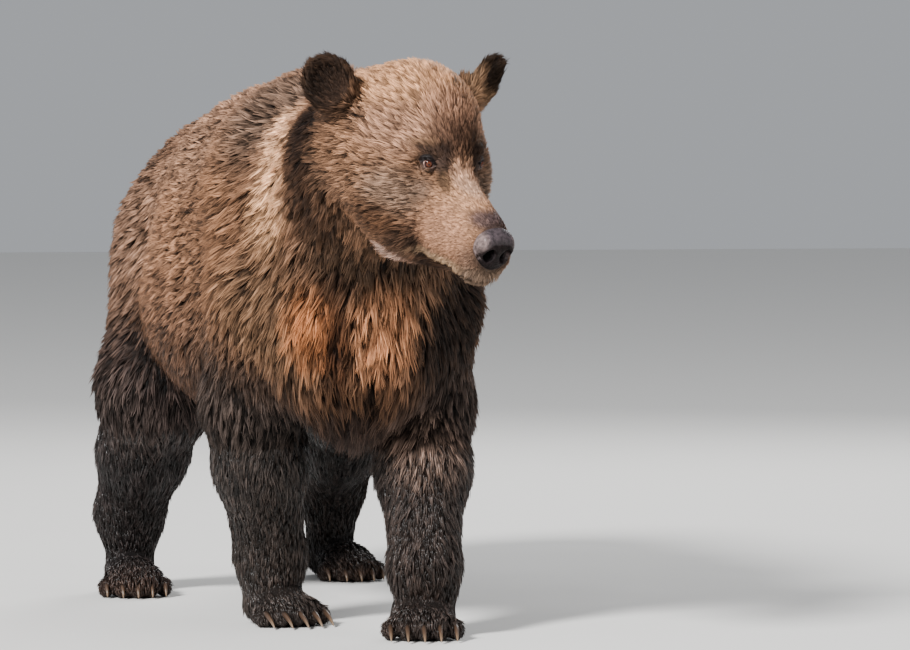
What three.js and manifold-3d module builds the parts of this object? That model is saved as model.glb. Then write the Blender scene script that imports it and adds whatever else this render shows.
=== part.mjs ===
// A large male grizzly bear in mid-stride, head turned a little to its left.
// The body is one implicit surface: ellipsoids and tapered limbs that melt into each other. Each node is
// that surface meshed at its own fineness and parted from its neighbours by thin flat cuts.
// Millimetres, +Z up. The bear faces -Y, and its left side is +X. The surface is the tips of the coat.
import * as THREE from "three";
import { mergeVertices } from "three/addons/utils/BufferGeometryUtils.js";
import Module from "manifold-3d";

const wasm = await Module();
wasm.setup();

// ---- driving sizes ----
const GAP = 0.4; // left open at every cut
const EYE_RADIUS = 14;
const EYE_AT = [59, -14, 15]; // in the head's frame, mirrored for the right eye
const EYE_LOOKS = [0.6, -0.79, 0.08]; // the way it looks, also mirrored
const HEAD_AT = [80, -660, 1014]; // midway between the eyes
const HEAD_TURN = 20; // degrees to the bear's left
const HEAD_BOW = 18; // degrees, nose down
const MOUTH_Z = -166; // height of the closed mouth's line in the head's frame
const FORE = { length: 190, width: 168, claw: 62, clawWidth: 12 }; // paws, heel to toe
const HIND = { length: 280, width: 164, claw: 40, clawWidth: 11 };
const TOE_Z = 23;
const LEG_CUT_Z = 418; // where the legs leave the trunk
const PAW_CUT_Z = 108;
const CHEST_CUT_Y = 275;
const RUMP_CUT_Y = 735;

// Forelegs: shoulder, elbow, wrist, heel on the floor, and the toes' turn to the bear's left.
const FORELEGS = {
  left: { at: [[160, -70, 700], [178, 10, 500], [148, -150, 150]], heel: [146, -110], turn: -10 },
  right: { at: [[-175, -40, 730], [-180, 110, 505], [-118, 225, 150]], heel: [-118, 265], turn: 12 },
};
// Hind legs: hip, knee, ankle, heel on the floor, and turn.
const HINDLEGS = {
  left: { at: [[125, 1090, 800], [232, 1040, 490], [262, 1380, 220]], heel: [262, 1440], turn: 6 },
  right: { at: [[-125, 1070, 800], [-258, 870, 500], [-290, 1075, 190]], heel: [-290, 1125], turn: -4 },
};
// Ears in the head's frame: centre and half sizes of the disc, and how it turns, bows and tips.
const EARS = {
  left: { at: [202, 208, 120], size: [46, 27, 76], turn: [30, -4, 54], out: [0.8, 0, 0.6] },
  right: { at: [-182, 212, 112], size: [56, 26, 64], turn: [-38, -8, -24], out: [-0.75, 0, 0.66] },
};
const SIDE = { left: 1, right: -1 };

// ---- frames ----
const rad = THREE.MathUtils.degToRad;
// Turns left about Z, then lowers the front about X, then tips about Y.
const frame = (turn = 0, bow = 0, tip = 0) =>
  new THREE.Matrix4()
    .makeRotationZ(rad(turn))
    .multiply(new THREE.Matrix4().makeRotationX(rad(bow)))
    .multiply(new THREE.Matrix4().makeRotationY(rad(tip)));
const moved = (m, p) => new THREE.Vector3(...p).applyMatrix4(m).toArray();
const headTurn = frame(HEAD_TURN, HEAD_BOW);
const inHead = new THREE.Matrix4().makeTranslation(...HEAD_AT).multiply(headTurn);
const hp = (x, y, z) => moved(inHead, [x, y, z]);
const mix = (a, b, t) => a.map((v, i) => v + (b[i] - v) * t);

// ---- the flesh: a list of shapes, each with how softly it melts into those before it ----
const flesh = [];

function ball(centre, radii, melt, turn = null, hollow = false) {
  const [cx, cy, cz] = centre;
  const [rx, ry, rz] = radii;
  const e = turn ? turn.elements : [1, 0, 0, 0, 0, 1, 0, 0, 0, 0, 1, 0];
  const away = (x, y, z) => {
    const [dx, dy, dz] = [x - cx, y - cy, z - cz];
    const u = (dx * e[0] + dy * e[1] + dz * e[2]) / rx;
    const v = (dx * e[4] + dy * e[5] + dz * e[6]) / ry;
    const w = (dx * e[8] + dy * e[9] + dz * e[10]) / rz;
    const near = Math.hypot(u, v, w);
    return (near * (near - 1)) / (Math.hypot(u / rx, v / ry, w / rz) + 1e-9);
  };
  flesh.push({ away, melt, hollow });
}

function limb(a, b, ra, rb, melt) {
  const ab = b.map((v, i) => v - a[i]);
  const long = ab[0] ** 2 + ab[1] ** 2 + ab[2] ** 2;
  const away = (x, y, z) => {
    const [dx, dy, dz] = [x - a[0], y - a[1], z - a[2]];
    const t = Math.min(1, Math.max(0, (dx * ab[0] + dy * ab[1] + dz * ab[2]) / long));
    return Math.hypot(dx - t * ab[0], dy - t * ab[1], dz - t * ab[2]) - ra - t * (rb - ra);
  };
  flesh.push({ away, melt, hollow: false });
}

function melted(a, b, k) {
  const h = Math.max(k - Math.abs(a - b), 0) / k;
  return Math.min(a, b) - (h * h * k) / 4;
}

function body(x, y, z) {
  let d = 1000;
  for (const s of flesh) {
    const q = s.away(x, y, z);
    d = s.hollow ? -melted(-d, q, s.melt) : melted(d, q, s.melt);
  }
  return d;
}

// Trunk: barrel, back, chest, rump, the hump of muscle over the shoulders, and the breast.
ball([0, 520, 715], [350, 560, 315], 10);
limb([0, 150, 915], [0, 520, 916], 296, 282, 120);
limb([0, 520, 916], [0, 930, 880], 282, 280, 60);
ball([0, 60, 780], [262, 350, 325], 100);
ball([0, 1060, 820], [286, 288, 305], 100);
ball([0, 140, 1050], [120, 260, 165], 130);
ball([0, -130, 690], [190, 185, 245], 130);
// Neck, and the shoulder blades on each side of the hump.
limb([0, -60, 900], hp(0, 235, -28), 255, 172, 110);
limb([-120, 90, 1040], [-170, -50, 740], 118, 102, 90);
limb([120, 90, 1040], [158, -50, 740], 118, 102, 90);

// A paw stands on its whole sole. x runs across it, -y towards the toes, from the heel.
const pawFrame = (leg) =>
  new THREE.Matrix4().makeTranslation(leg.heel[0], leg.heel[1], 0).multiply(frame(leg.turn));
const toeAt = (i, size) => [i * size.width * 0.21, -size.length * (0.87 - 0.035 * i * i), TOE_Z];

function paw(leg, size, hind) {
  const turn = frame(leg.turn);
  const at = (...p) => moved(pawFrame(leg), p);
  const [l, w] = [size.length, size.width / 2];
  ball(at(0, -l * 0.62, 38), [w * 0.92, l * 0.34, 44], 30, turn);
  if (hind) limb(at(0, -25, 46), at(0, -l * 0.6, 44), 50, 52, 30);
  else ball(at(0, -45, 52), [w * 0.78, 62, 53], 30, turn);
  for (let i = -2; i <= 2; i++) ball(at(...toeAt(i, size)), [20, 29, 25], 14, turn);
}

for (const leg of Object.values(FORELEGS)) {
  const [shoulder, elbow, wrist] = leg.at;
  const middle = mix(elbow, wrist, 0.4);
  limb(shoulder, elbow, 120, 115, 80);
  limb(elbow, middle, 111, 102, 50);
  limb(middle, wrist, 102, 79, 50);
  limb(wrist, [wrist[0], wrist[1] - 14, 62], 77, 67, 40);
  paw(leg, FORE, false);
}
for (const leg of Object.values(HINDLEGS)) {
  const [hip, knee, ankle] = leg.at;
  const middle = mix(knee, ankle, 0.5);
  limb(hip, knee, 194, 142, 110);
  limb(knee, middle, 135, 106, 60);
  limb(middle, ankle, 106, 83, 50);
  limb(ankle, [ankle[0], leg.heel[1] - 48, 60], 78, 59, 40);
  paw(leg, HIND, true);
}
limb([0, 1330, 860], [0, 1385, 750], 50, 34, 40); // tail

// Head: skull and forehead, then cheek, jaw muscle and brow on each side.
ball(hp(0, 140, 42), [128, 160, 142], 40, headTurn);
ball(hp(0, 34, 20), [72, 92, 64], 45, headTurn);
for (const s of [-1, 1]) {
  ball(hp(s * 80, 118, -50), [78, 125, 108], 50, headTurn);
  ball(hp(s * 58, 66, -128), [66, 115, 78], 40, headTurn);
  ball(hp(s * 48, 4, 32), [28, 34, 16], 24, headTurn);
}
// Muzzle, bridge of the nose and lower jaw, then the hanging upper lips, the chin and the nose itself.
limb(hp(0, -10, -62), hp(0, -165, -98), 62, 48, 45);
limb(hp(0, 20, -4), hp(0, -186, -72), 38, 27, 35);
limb(hp(0, -126, -150), hp(0, 60, -158), 38, 64, 40);
for (const s of [-1, 1]) {
  ball(hp(s * 26, -160, -128), [36, 60, 42], 24, headTurn);
  ball(hp(s * 40, -84, -126), [36, 62, 42], 24, headTurn);
}
ball(hp(0, -170, -161), [42, 46, 33], 18, headTurn);
for (const s of [-1, 1]) ball(hp(s * 19, -186, -110), [27, 28, 36], 16, headTurn);
ball(hp(0, -206, -92), [38, 36, 32], 14, headTurn);
ball(hp(0, -198, -120), [32, 29, 32], 14, headTurn);
// Ears: a muscled root, a rounded disc, and the cup hollowed out of its front.
for (const [name, ear] of Object.entries(EARS)) {
  const turn = headTurn.clone().multiply(frame(...ear.turn));
  limb(hp(SIDE[name] * 112, 215, 60), hp(SIDE[name] * 155, 214, 92), 62, 44, 40);
  ball(hp(...ear.at), ear.size, 22, turn);
  const cup = moved(turn, [0, -22, 3]).map((v, i) => v + hp(...ear.at)[i]);
  ball(cup, [ear.size[0] - 16, 26, ear.size[2] - 18], 12, turn, true);
}

// ---- from the surface to solids ----
function solidOf(geometry) {
  const g = geometry.index ? geometry.toNonIndexed() : geometry;
  const bare = new THREE.BufferGeometry().setAttribute("position", g.getAttribute("position"));
  const merged = mergeVertices(bare, 1e-3);
  return new wasm.Manifold(
    new wasm.Mesh({
      numProp: 3,
      vertProperties: new Float32Array(merged.getAttribute("position").array),
      triVerts: new Uint32Array(merged.index.array),
    }),
  );
}

// Meshes the body inside the box from low to high with cubes of the given edge: one vertex for each cube
// that the surface crosses, drawn onto the surface, and one quad for each crossed edge of the grid.
function meshed(low, high, cell) {
  const n = low.map((v, i) => Math.ceil((high[i] - v) / cell) + 1);
  const at = (i, axis) => low[axis] + i * cell;
  const walls = (p) => Math.max(...p.map((v, i) => Math.max(low[i] - v, v - at(n[i] - 1, i)))) + cell / 2;
  const index = (i, j, k) => (i * n[1] + j) * n[2] + k;
  const value = new Float64Array(n[0] * n[1] * n[2]);
  for (let i = 0; i < n[0]; i++)
    for (let j = 0; j < n[1]; j++)
      for (let k = 0; k < n[2]; k++) {
        const p = [at(i, 0), at(j, 1), at(k, 2)];
        value[index(i, j, k)] = Math.max(body(...p), walls(p));
      }
  const points = [];
  const made = new Map();
  function vertex(i, j, k) {
    const key = index(i, j, k);
    if (made.has(key)) return made.get(key);
    const sum = [0, 0, 0];
    let count = 0;
    for (let axis = 0; axis < 3; axis++)
      for (let corner = 0; corner < 4; corner++) {
        const a = [i, j, k];
        a[(axis + 1) % 3] += corner & 1;
        a[(axis + 2) % 3] += corner >> 1;
        const b = [...a];
        b[axis] += 1;
        const [va, vb] = [value[index(...a)], value[index(...b)]];
        if (va < 0 === vb < 0) continue;
        a[axis] += va / (va - vb);
        a.forEach((v, m) => (sum[m] += v));
        count++;
      }
    let p = sum.map((v, m) => at(v / count, m));
    if (walls(p) < -0.8 * cell) p = drawnOn(p, cell);
    made.set(key, points.push(p) - 1);
    return points.length - 1;
  }
  const triangles = [];
  for (let axis = 0; axis < 3; axis++) {
    const [u, v] = [(axis + 1) % 3, (axis + 2) % 3];
    for (let i = 1; i < n[u] - 1; i++)
      for (let j = 1; j < n[v] - 1; j++)
        for (let k = 0; k < n[axis] - 1; k++) {
          const a = [];
          [a[u], a[v], a[axis]] = [i, j, k];
          const b = [...a];
          b[axis] += 1;
          const inside = value[index(...a)] < 0;
          if (inside === value[index(...b)] < 0) continue;
          const q = [[1, 1], [0, 1], [0, 0], [1, 0]].map(([du, dv]) => {
            const c = [...a];
            c[u] -= du;
            c[v] -= dv;
            return vertex(...c);
          });
          if (!inside) q.reverse();
          const span = (m, o) => new THREE.Vector3(...points[q[m]]).distanceTo(new THREE.Vector3(...points[q[o]]));
          if (span(0, 2) <= span(1, 3)) triangles.push(q[0], q[1], q[2], q[0], q[2], q[3]);
          else triangles.push(q[1], q[2], q[3], q[1], q[3], q[0]);
        }
  }
  const g = new THREE.BufferGeometry();
  g.setAttribute("position", new THREE.Float32BufferAttribute(points.flat(), 3));
  g.setIndex(triangles);
  return solidOf(g);
}

// Moves a point along the surface's normal until it lies on the surface.
function drawnOn(p, cell) {
  let [x, y, z] = p;
  for (let step = 0; step < 4; step++) {
    const d = body(x, y, z);
    const g = [
      body(x + 1, y, z) - body(x - 1, y, z),
      body(x, y + 1, z) - body(x, y - 1, z),
      body(x, y, z + 1) - body(x, y, z - 1),
    ].map((v) => v / 2);
    const steep = Math.max(g[0] ** 2 + g[1] ** 2 + g[2] ** 2, 0.3);
    [x, y, z] = [x - (d * g[0]) / steep, y - (d * g[1]) / steep, z - (d * g[2]) / steep];
  }
  const far = Math.hypot(x - p[0], y - p[1], z - p[2]);
  return far < cell * 0.6 ? [x, y, z] : p;
}

// A plane is a point and a normal. ahead() keeps the side that the normal points to, behind() the other.
const plane = (through, normal) => ({ through, normal: new THREE.Vector3(...normal).normalize().toArray() });
const dot = (a, b) => a.reduce((sum, v, i) => sum + v * b[i], 0);
const ahead = (s, p) => s.trimByPlane(p.normal, dot(p.normal, p.through) + GAP / 2);
const behind = (s, p) => s.trimByPlane(p.normal.map((v) => -v), -dot(p.normal, p.through) + GAP / 2);
const largest = (s) => s.decompose().sort((a, b) => b.volume() - a.volume())[0];
const headDir = (x, y, z) => moved(headTurn, [x, y, z]);
const box = (size, at, turn = new THREE.Matrix4(), grow = 0) =>
  solidOf(
    new THREE.BoxGeometry(...size.map((v) => v + grow))
      .applyMatrix4(turn)
      .translate(...at),
  );

const floor = plane([0, 0, -GAP / 2], [0, 0, 1]);
const legCut = plane([0, 0, LEG_CUT_Z], [0, 0, 1]);
const pawCut = plane([0, 0, PAW_CUT_Z], [0, 0, 1]);
const chestCut = plane([0, CHEST_CUT_Y, 0], [0, 1, 0]);
const rumpCut = plane([0, RUMP_CUT_Y, 0], [0, 1, 0]);
const neckCut = plane([0, -230, 1000], [0, -0.8, 0.6]);
const headCut = plane(hp(0, 238, 0), [0.32, -0.95, 0]);
const muzzleCut = plane(hp(0, -48, 0), headDir(0, -1, 0));
const mouthCut = plane(hp(0, -100, MOUTH_Z), headDir(0, 0, 1));
const earCut = Object.fromEntries(
  Object.entries(EARS).map(([name, ear]) => {
    const root = ear.at.map((v, i) => v - 40 * ear.out[i]);
    return [name, plane(hp(...root), headDir(...ear.out))];
  }),
);

// Thins a solid's mesh: the corner whose going changes the volume least is drawn along an edge onto its
// neighbour, over and over, until the wanted number of triangles is left or the change costs too much.
function thin(solid, wanted, dearest = Infinity) {
  const raw = solid.getMesh();
  const points = [];
  for (let i = 0; i < raw.vertProperties.length; i += 3)
    points.push(new THREE.Vector3(...raw.vertProperties.slice(i, i + 3)));
  const faces = [];
  for (let i = 0; i < raw.triVerts.length; i += 3) faces.push([...raw.triVerts.slice(i, i + 3)]);
  const around = points.map(() => new Set());
  faces.forEach((f, i) => f.forEach((v) => around[v].add(i)));
  const normal = (a, b, c) => new THREE.Vector3().crossVectors(b.clone().sub(a), c.clone().sub(a));
  const ring = (v) => new Set([...around[v]].flatMap((f) => faces[f]));
  function cost(v, w, near) {
    const other = ring(w);
    if ([...near].filter((n) => other.has(n)).length !== 4) return Infinity; // would pinch the surface
    const way = points[w].clone().sub(points[v]);
    let sum = way.length() * 0.01;
    for (const f of around[v]) {
      if (around[w].has(f)) continue;
      const before = normal(...faces[f].map((n) => points[n]));
      const after = normal(...faces[f].map((n) => points[n === v ? w : n]));
      if (before.dot(after) < 0.3 * before.length() * after.length() || after.length() < 0.5) return Infinity;
      sum += Math.abs(before.dot(way));
    }
    return sum;
  }
  function cheapest(v) {
    const near = ring(v);
    let best = [Infinity, -1];
    for (const w of near) if (w !== v) best = [[cost(v, w, near), w], best].sort((a, b) => a[0] - b[0])[0];
    return best;
  }
  const plan = points.map((_, v) => cheapest(v));
  let left = faces.length;
  while (left > wanted) {
    let v = 0;
    for (let i = 1; i < plan.length; i++) if (plan[i][0] < plan[v][0]) v = i;
    const [price, w] = plan[v];
    if (price >= dearest) break;
    for (const f of [...around[v]]) {
      if (around[w].has(f)) {
        for (const n of faces[f]) around[n].delete(f);
        faces[f] = null;
        left--;
      } else {
        faces[f] = faces[f].map((n) => (n === v ? w : n));
        around[w].add(f);
      }
    }
    around[v].clear();
    plan[v] = [Infinity, -1];
    for (const n of ring(w)) plan[n] = cheapest(n);
  }
  const g = new THREE.BufferGeometry().setFromPoints(points);
  g.setIndex(faces.filter(Boolean).flat());
  return solidOf(g);
}

const bear = new THREE.Group();
const skins = { coat: 0x6a4a33, dark: 0x2c211b, face: 0x86695a, ear: 0x33261f, nose: 0x2a2423 };

// Adds a node. The last slight thinning takes out the slivers that the cuts leave.
function add(name, solid, color, roughness = 0.9) {
  const raw = thin(largest(solid), 4, 0.3).getMesh();
  const g = new THREE.BufferGeometry();
  g.setAttribute("position", new THREE.BufferAttribute(new Float32Array(raw.vertProperties), 3));
  g.setIndex(new THREE.BufferAttribute(new Uint32Array(raw.triVerts), 1));
  g.computeVertexNormals();
  const mesh = new THREE.Mesh(g, new THREE.MeshStandardMaterial({ color, roughness, metalness: 0 }));
  mesh.name = name;
  bear.add(mesh);
}

// Trunk and neck.
const forebody = ahead(behind(meshed([-450, -430, 340], [450, 390, 1330], 62), chestCut), legCut);
add("chest", thin(behind(forebody, neckCut), 660), skins.coat);
const midbody = ahead(meshed([-450, 150, 310], [450, 890, 1310], 62), chestCut);
add("barrel", thin(behind(midbody, rumpCut), 480), skins.coat);
const tailBox = (grow) => box([150, 120, 260], [0, 1357 + 60 - grow / 2, 805], undefined, grow);
const hindbody = ahead(ahead(meshed([-480, 640, 320], [480, 1480, 1310], 58), rumpCut), legCut);
add("rump", thin(hindbody, 700).subtract(tailBox(GAP)), skins.coat);
add("tail", thin(meshed([-96, 1290, 650], [96, 1460, 960], 24), 200).intersect(tailBox(-GAP)), skins.coat);
const nape = ahead(meshed([-340, -660, 420], [400, 40, 1340], 50), neckCut);
add("neck", thin(behind(nape, headCut), 360), skins.coat);

// Head: skull with the upper face, ears, eyes, muzzle, nose and lower jaw.
let head = behind(ahead(meshed([-200, -800, 700], [430, -320, 1330], 22), headCut), muzzleCut);
for (const cut of Object.values(earCut)) head = behind(head, cut);
head = thin(head, 900);
const ballAt = (at, radius) =>
  solidOf(new THREE.SphereGeometry(radius, 12, 8).applyMatrix4(headTurn).translate(...at));
for (const [name, s] of Object.entries(SIDE)) {
  // The socket fits round the eyeball, and the opening of the lids flares out in front of it.
  const at = hp(s * EYE_AT[0], EYE_AT[1], EYE_AT[2]);
  const look = new THREE.Vector3(...headDir(s * EYE_LOOKS[0], EYE_LOOKS[1], EYE_LOOKS[2])).normalize();
  const lids = new THREE.CylinderGeometry(17, 10, 30, 8)
    .applyQuaternion(new THREE.Quaternion().setFromUnitVectors(new THREE.Vector3(0, 1, 0), look))
    .translate(...at.map((v, i) => v + 23 * look.getComponent(i)));
  head = head.subtract(ballAt(at, EYE_RADIUS + GAP)).subtract(solidOf(lids));
  add("eye_" + name, ballAt(at, EYE_RADIUS), 0x3a1d0c, 0.05);
}
add("head", head, skins.face);
const face = ahead(meshed([-30, -910, 690], [310, -590, 1070], 15), muzzleCut);
const upperFace = thin(ahead(face, mouthCut), 500);
const noseBox = (grow) => box([130, 80, 84], hp(0, -208 - 40, -100), headTurn, grow);
add("muzzle", upperFace.subtract(noseBox(GAP)), skins.face);
add("nose", upperFace.intersect(noseBox(-GAP)), skins.nose, 0.45);
add("lower_jaw", thin(behind(face, mouthCut), 200), skins.face);
for (const [name, ear] of Object.entries(EARS)) {
  const c = hp(...ear.at);
  const round = meshed(c.map((v) => v - 108), c.map((v) => v + 108), 12);
  add("ear_" + name, thin(ahead(round, earCut[name]), 260), skins.ear);
}

// A claw: rings of a curved, tapering horn, from inside the toe down to a blunt tip above the floor.
function claw(m, [x, y, z], size, grow) {
  const [rings, sides] = [3, 5];
  const points = [];
  const drop = (z + 1) / size.claw; // how far it falls over its length
  let [py, pz] = [y - 16 + grow, z + 8];
  for (let r = 0; r <= rings; r++) {
    const t = r / rings;
    const slope = Math.asin(Math.min(0.95, drop * (0.6 + 1.2 * t)));
    const wide = (size.clawWidth / 2) * (1 - 0.8 * t * t) + grow;
    for (let i = 0; i < sides; i++) {
      const a = (i * 2 * Math.PI) / sides;
      const up = Math.cos(a) * wide * 1.25;
      points.push(...moved(m, [x + Math.sin(a) * wide, py - up * Math.sin(slope), pz + up * Math.cos(slope)]));
    }
    py -= (Math.cos(slope) * size.claw) / rings;
    pz -= (Math.sin(slope) * size.claw) / rings;
  }
  const faces = [];
  for (let r = 0; r < rings; r++)
    for (let i = 0; i < sides; i++) {
      const [a, b] = [r * sides + i, r * sides + ((i + 1) % sides)];
      faces.push(a, a + sides, b, b, a + sides, b + sides);
    }
  for (let i = 1; i < sides - 1; i++) {
    faces.push(0, i, i + 1);
    faces.push(rings * sides, rings * sides + i + 1, rings * sides + i);
  }
  const g = new THREE.BufferGeometry();
  g.setAttribute("position", new THREE.Float32BufferAttribute(points, 3));
  g.setIndex(faces);
  return solidOf(g);
}

// Legs down to the wrist or ankle, and paws, each with five claws.
function legNodes(kind, side, leg, size, low, high) {
  const shank = behind(ahead(meshed(low, high, 32), pawCut), legCut);
  add(`${kind}leg_${side}`, thin(shank, 370), skins.dark);
  const [x, y] = leg.heel;
  const sole = meshed([x - 136, y - size.length - 76, -56], [x + 136, y + 98, 180], 17);
  let foot = thin(behind(ahead(sole, floor), pawCut), size === HIND ? 400 : 350);
  for (let i = -2; i <= 2; i++) {
    const horn = (grow) => claw(pawFrame(leg), toeAt(i, size), size, grow);
    foot = foot.subtract(horn(GAP));
    add(`${kind}claw_${side}_${i + 3}`, horn(0), 0x4a3d33, 0.5);
  }
  add(`${kind}paw_${side}`, foot, skins.dark);
}
legNodes("fore", "left", FORELEGS.left, FORE, [8, -330, 60], [360, 180, 500]);
legNodes("fore", "right", FORELEGS.right, FORE, [-360, -60, 60], [-8, 340, 500]);
legNodes("hind", "left", HINDLEGS.left, HIND, [60, 930, 60], [460, 1560, 500]);
legNodes("hind", "right", HINDLEGS.right, HIND, [-480, 660, 60], [-80, 1220, 500]);

// The origin is on the floor below the middle of the bear's box.
const bounds = new THREE.Box3().setFromObject(bear);
const middle = bounds.getCenter(new THREE.Vector3());
for (const mesh of bear.children) mesh.geometry.translate(-middle.x, -middle.y, 0);

export default bear;
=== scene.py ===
import math

import bpy
import numpy as np
from mathutils import Matrix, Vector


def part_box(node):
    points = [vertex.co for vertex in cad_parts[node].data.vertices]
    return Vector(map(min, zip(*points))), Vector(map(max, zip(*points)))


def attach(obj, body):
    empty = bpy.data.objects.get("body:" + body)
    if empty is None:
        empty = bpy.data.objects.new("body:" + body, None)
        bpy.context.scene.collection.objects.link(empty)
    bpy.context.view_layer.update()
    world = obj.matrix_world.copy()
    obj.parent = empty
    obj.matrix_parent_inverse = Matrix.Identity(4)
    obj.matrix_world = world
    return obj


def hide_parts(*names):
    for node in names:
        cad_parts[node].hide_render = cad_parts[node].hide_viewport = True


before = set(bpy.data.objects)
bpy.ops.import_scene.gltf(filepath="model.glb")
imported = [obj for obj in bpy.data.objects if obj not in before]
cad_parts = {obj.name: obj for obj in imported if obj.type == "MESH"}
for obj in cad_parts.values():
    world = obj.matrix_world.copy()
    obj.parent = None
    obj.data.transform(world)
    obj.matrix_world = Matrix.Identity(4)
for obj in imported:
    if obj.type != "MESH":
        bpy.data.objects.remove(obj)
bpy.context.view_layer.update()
scene = bpy.context.scene


# ---- Body under the coat ----
# A big male grizzly in mid-stride, head turned to its left. Muscle, fat and bone give one soft form:
# each shape below melts into those before it. Sizes are millimetres out to the tips of the coat, and
# each shape also says how deep its coat is, so the same list gives the hide and the fur's outer face.

def turned(turn=0, bow=0, tip=0):
    """Columns are the turned x, y and z axes: left about z, then nose down about x, then tipped about y."""
    t, b, r = np.radians([turn, bow, tip])
    about_z = np.array([[np.cos(t), -np.sin(t), 0], [np.sin(t), np.cos(t), 0], [0, 0, 1]])
    about_x = np.array([[1, 0, 0], [0, np.cos(b), -np.sin(b)], [0, np.sin(b), np.cos(b)]])
    about_y = np.array([[np.cos(r), 0, np.sin(r)], [0, 1, 0], [-np.sin(r), 0, np.cos(r)]])
    return about_z @ about_x @ about_y


HEAD_AT = np.array([80.0, -660.0, 1014.0])  # midway between the eyes
HEAD_TURN = turned(20, 18)


def in_head(x, y, z):
    """A place on the head: x to its left, -y past the nose and z up, from midway between the eyes."""
    return HEAD_AT + HEAD_TURN @ np.array([x, y, z], float)


def melted(a, b, k):
    """The lesser of two distances, with the crease between them filled over k millimetres."""
    h = np.maximum(k - np.abs(a - b), 0) / k
    return np.minimum(a, b) - h * h * k / 4


flesh = []


def ball(at, radii, melt, coat=0, turn=None, hollow=False, sole=False):
    """An egg of flesh, or a hollow. It melts into what is there already, and its coat is so many deep."""
    at, radii = np.array(at, float), np.ones(3) * radii
    reach = radii.max() if turn is not None else radii

    def away(p, bare):
        q, r = p - at, radii - coat * bare
        if sole:  # the pads stay on the floor
            q, r = q + [0, 0, coat * bare / 2], r + [0, 0, coat * bare / 2]
        if turn is not None:
            q = q @ turn
        q = q / r
        share = np.sqrt((q * q).sum(-1))
        q = q / r
        return share * (share - 1) / (np.sqrt((q * q).sum(-1)) + 1e-9)

    flesh.append((at - reach, at + reach, melt, hollow, away))


def limb(a, b, ra, rb, melt, coat=0, hollow=False, sole=False):
    """A tapered round length of flesh from a to b, or a groove."""
    a, b = np.array(a, float), np.array(b, float)
    ab = b - a

    def away(p, bare):
        q = p - a + ([0, 0, coat * bare / 2] if sole else 0)
        t = np.clip(q @ ab / (ab @ ab), 0, 1)
        q = q - t[..., None] * ab
        return np.sqrt((q * q).sum(-1)) - ra - t * (rb - ra) + coat * bare * (0.5 if sole else 1)

    flesh.append((np.minimum(a - ra, b - rb), np.maximum(a + ra, b + rb), melt, hollow, away))


# Trunk: barrel, back, chest, rump, the hump over the shoulders, the breast; then neck and shoulder blades.
ball((0, 520, 715), (350, 560, 315), 10, 18)
limb((0, 150, 915), (0, 520, 916), 296, 282, 120, 15)
limb((0, 520, 916), (0, 930, 880), 282, 280, 60, 15)
ball((0, 60, 780), (262, 350, 325), 100, 22)
ball((0, 1060, 820), (286, 288, 305), 100, 18)
ball((0, 140, 1050), (120, 260, 165), 130, 16)
ball((0, -130, 690), (190, 185, 245), 130, 24)
limb((0, -60, 900), in_head(0, 235, -28), 255, 172, 110, 20)
limb((-120, 90, 1040), (-170, -50, 740), 118, 102, 90, 20)
limb((120, 90, 1040), (158, -50, 740), 118, 102, 90, 20)

# Legs: shoulder or hip, elbow or knee, wrist or ankle, heel on the floor, and the toes' turn to the left.
LEGS = {
    "foreleg_left": ((160, -70, 700), (178, 10, 500), (148, -150, 150), (146, -110, 0), -10),
    "foreleg_right": ((-175, -40, 730), (-180, 110, 505), (-118, 225, 150), (-118, 265, 0), 12),
    "hindleg_left": ((125, 1090, 800), (232, 1040, 490), (262, 1380, 220), (262, 1440, 0), 6),
    "hindleg_right": ((-125, 1070, 800), (-258, 870, 500), (-290, 1075, 190), (-290, 1125, 0), -4),
}
PAWS = {  # the foot's length and width, and its claws' length and thickness
    "fore": dict(length=190, width=168, claw=62, thick=12),
    "hind": dict(length=280, width=164, claw=40, thick=11),
}


def toe_at(i, half, long):
    """How far toe i of -2 to 2 is across and ahead of the heel. The toes stand in a shallow arc."""
    return i * half * 0.42, -long * (0.87 - 0.035 * i * i)


TOE_HIGH = 23.0
for name, (top, bend, ankle, heel, toes) in LEGS.items():
    top, bend, ankle, heel = (np.array(p, float) for p in (top, bend, ankle, heel))
    size, way = PAWS[name[:4]], turned(toes)
    long, half = size["length"], size["width"] / 2
    if name.startswith("fore"):
        middle = bend * 0.6 + ankle * 0.4
        limb(top, bend, 120, 115, 80, 17)
        limb(bend, middle, 111, 102, 50, 12)
        limb(middle, ankle, 102, 79, 50, 10)
        limb(ankle, (ankle[0], ankle[1] - 14, 62), 77, 67, 40, 9)
        ball(heel + way @ (0, -45, 52), (half * 0.78, 62, 53), 30, 8, way, sole=True)
    else:
        middle = (bend + ankle) / 2
        limb(top, bend, 194, 142, 110, 17)
        limb(bend, middle, 135, 106, 60, 13)
        limb(middle, ankle, 106, 83, 50, 10)
        limb(ankle, (ankle[0], heel[1] - 48, 60), 78, 59, 40, 9)
        limb(heel + way @ (0, -25, 46), heel + way @ (0, -long * 0.6, 44), 50, 52, 30, 8, sole=True)
    ball(heel + way @ (0, -long * 0.62, 38), (half * 0.92, long * 0.34, 44), 30, 8, way, sole=True)
    for i in range(-2, 3):
        toe = heel + way @ (*toe_at(i, half, long), TOE_HIGH)
        ball(toe, (20, 29, 25), 12, 4, way, sole=True)
limb((0, 1330, 860), (0, 1385, 750), 50, 34, 40, 18)  # tail

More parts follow.
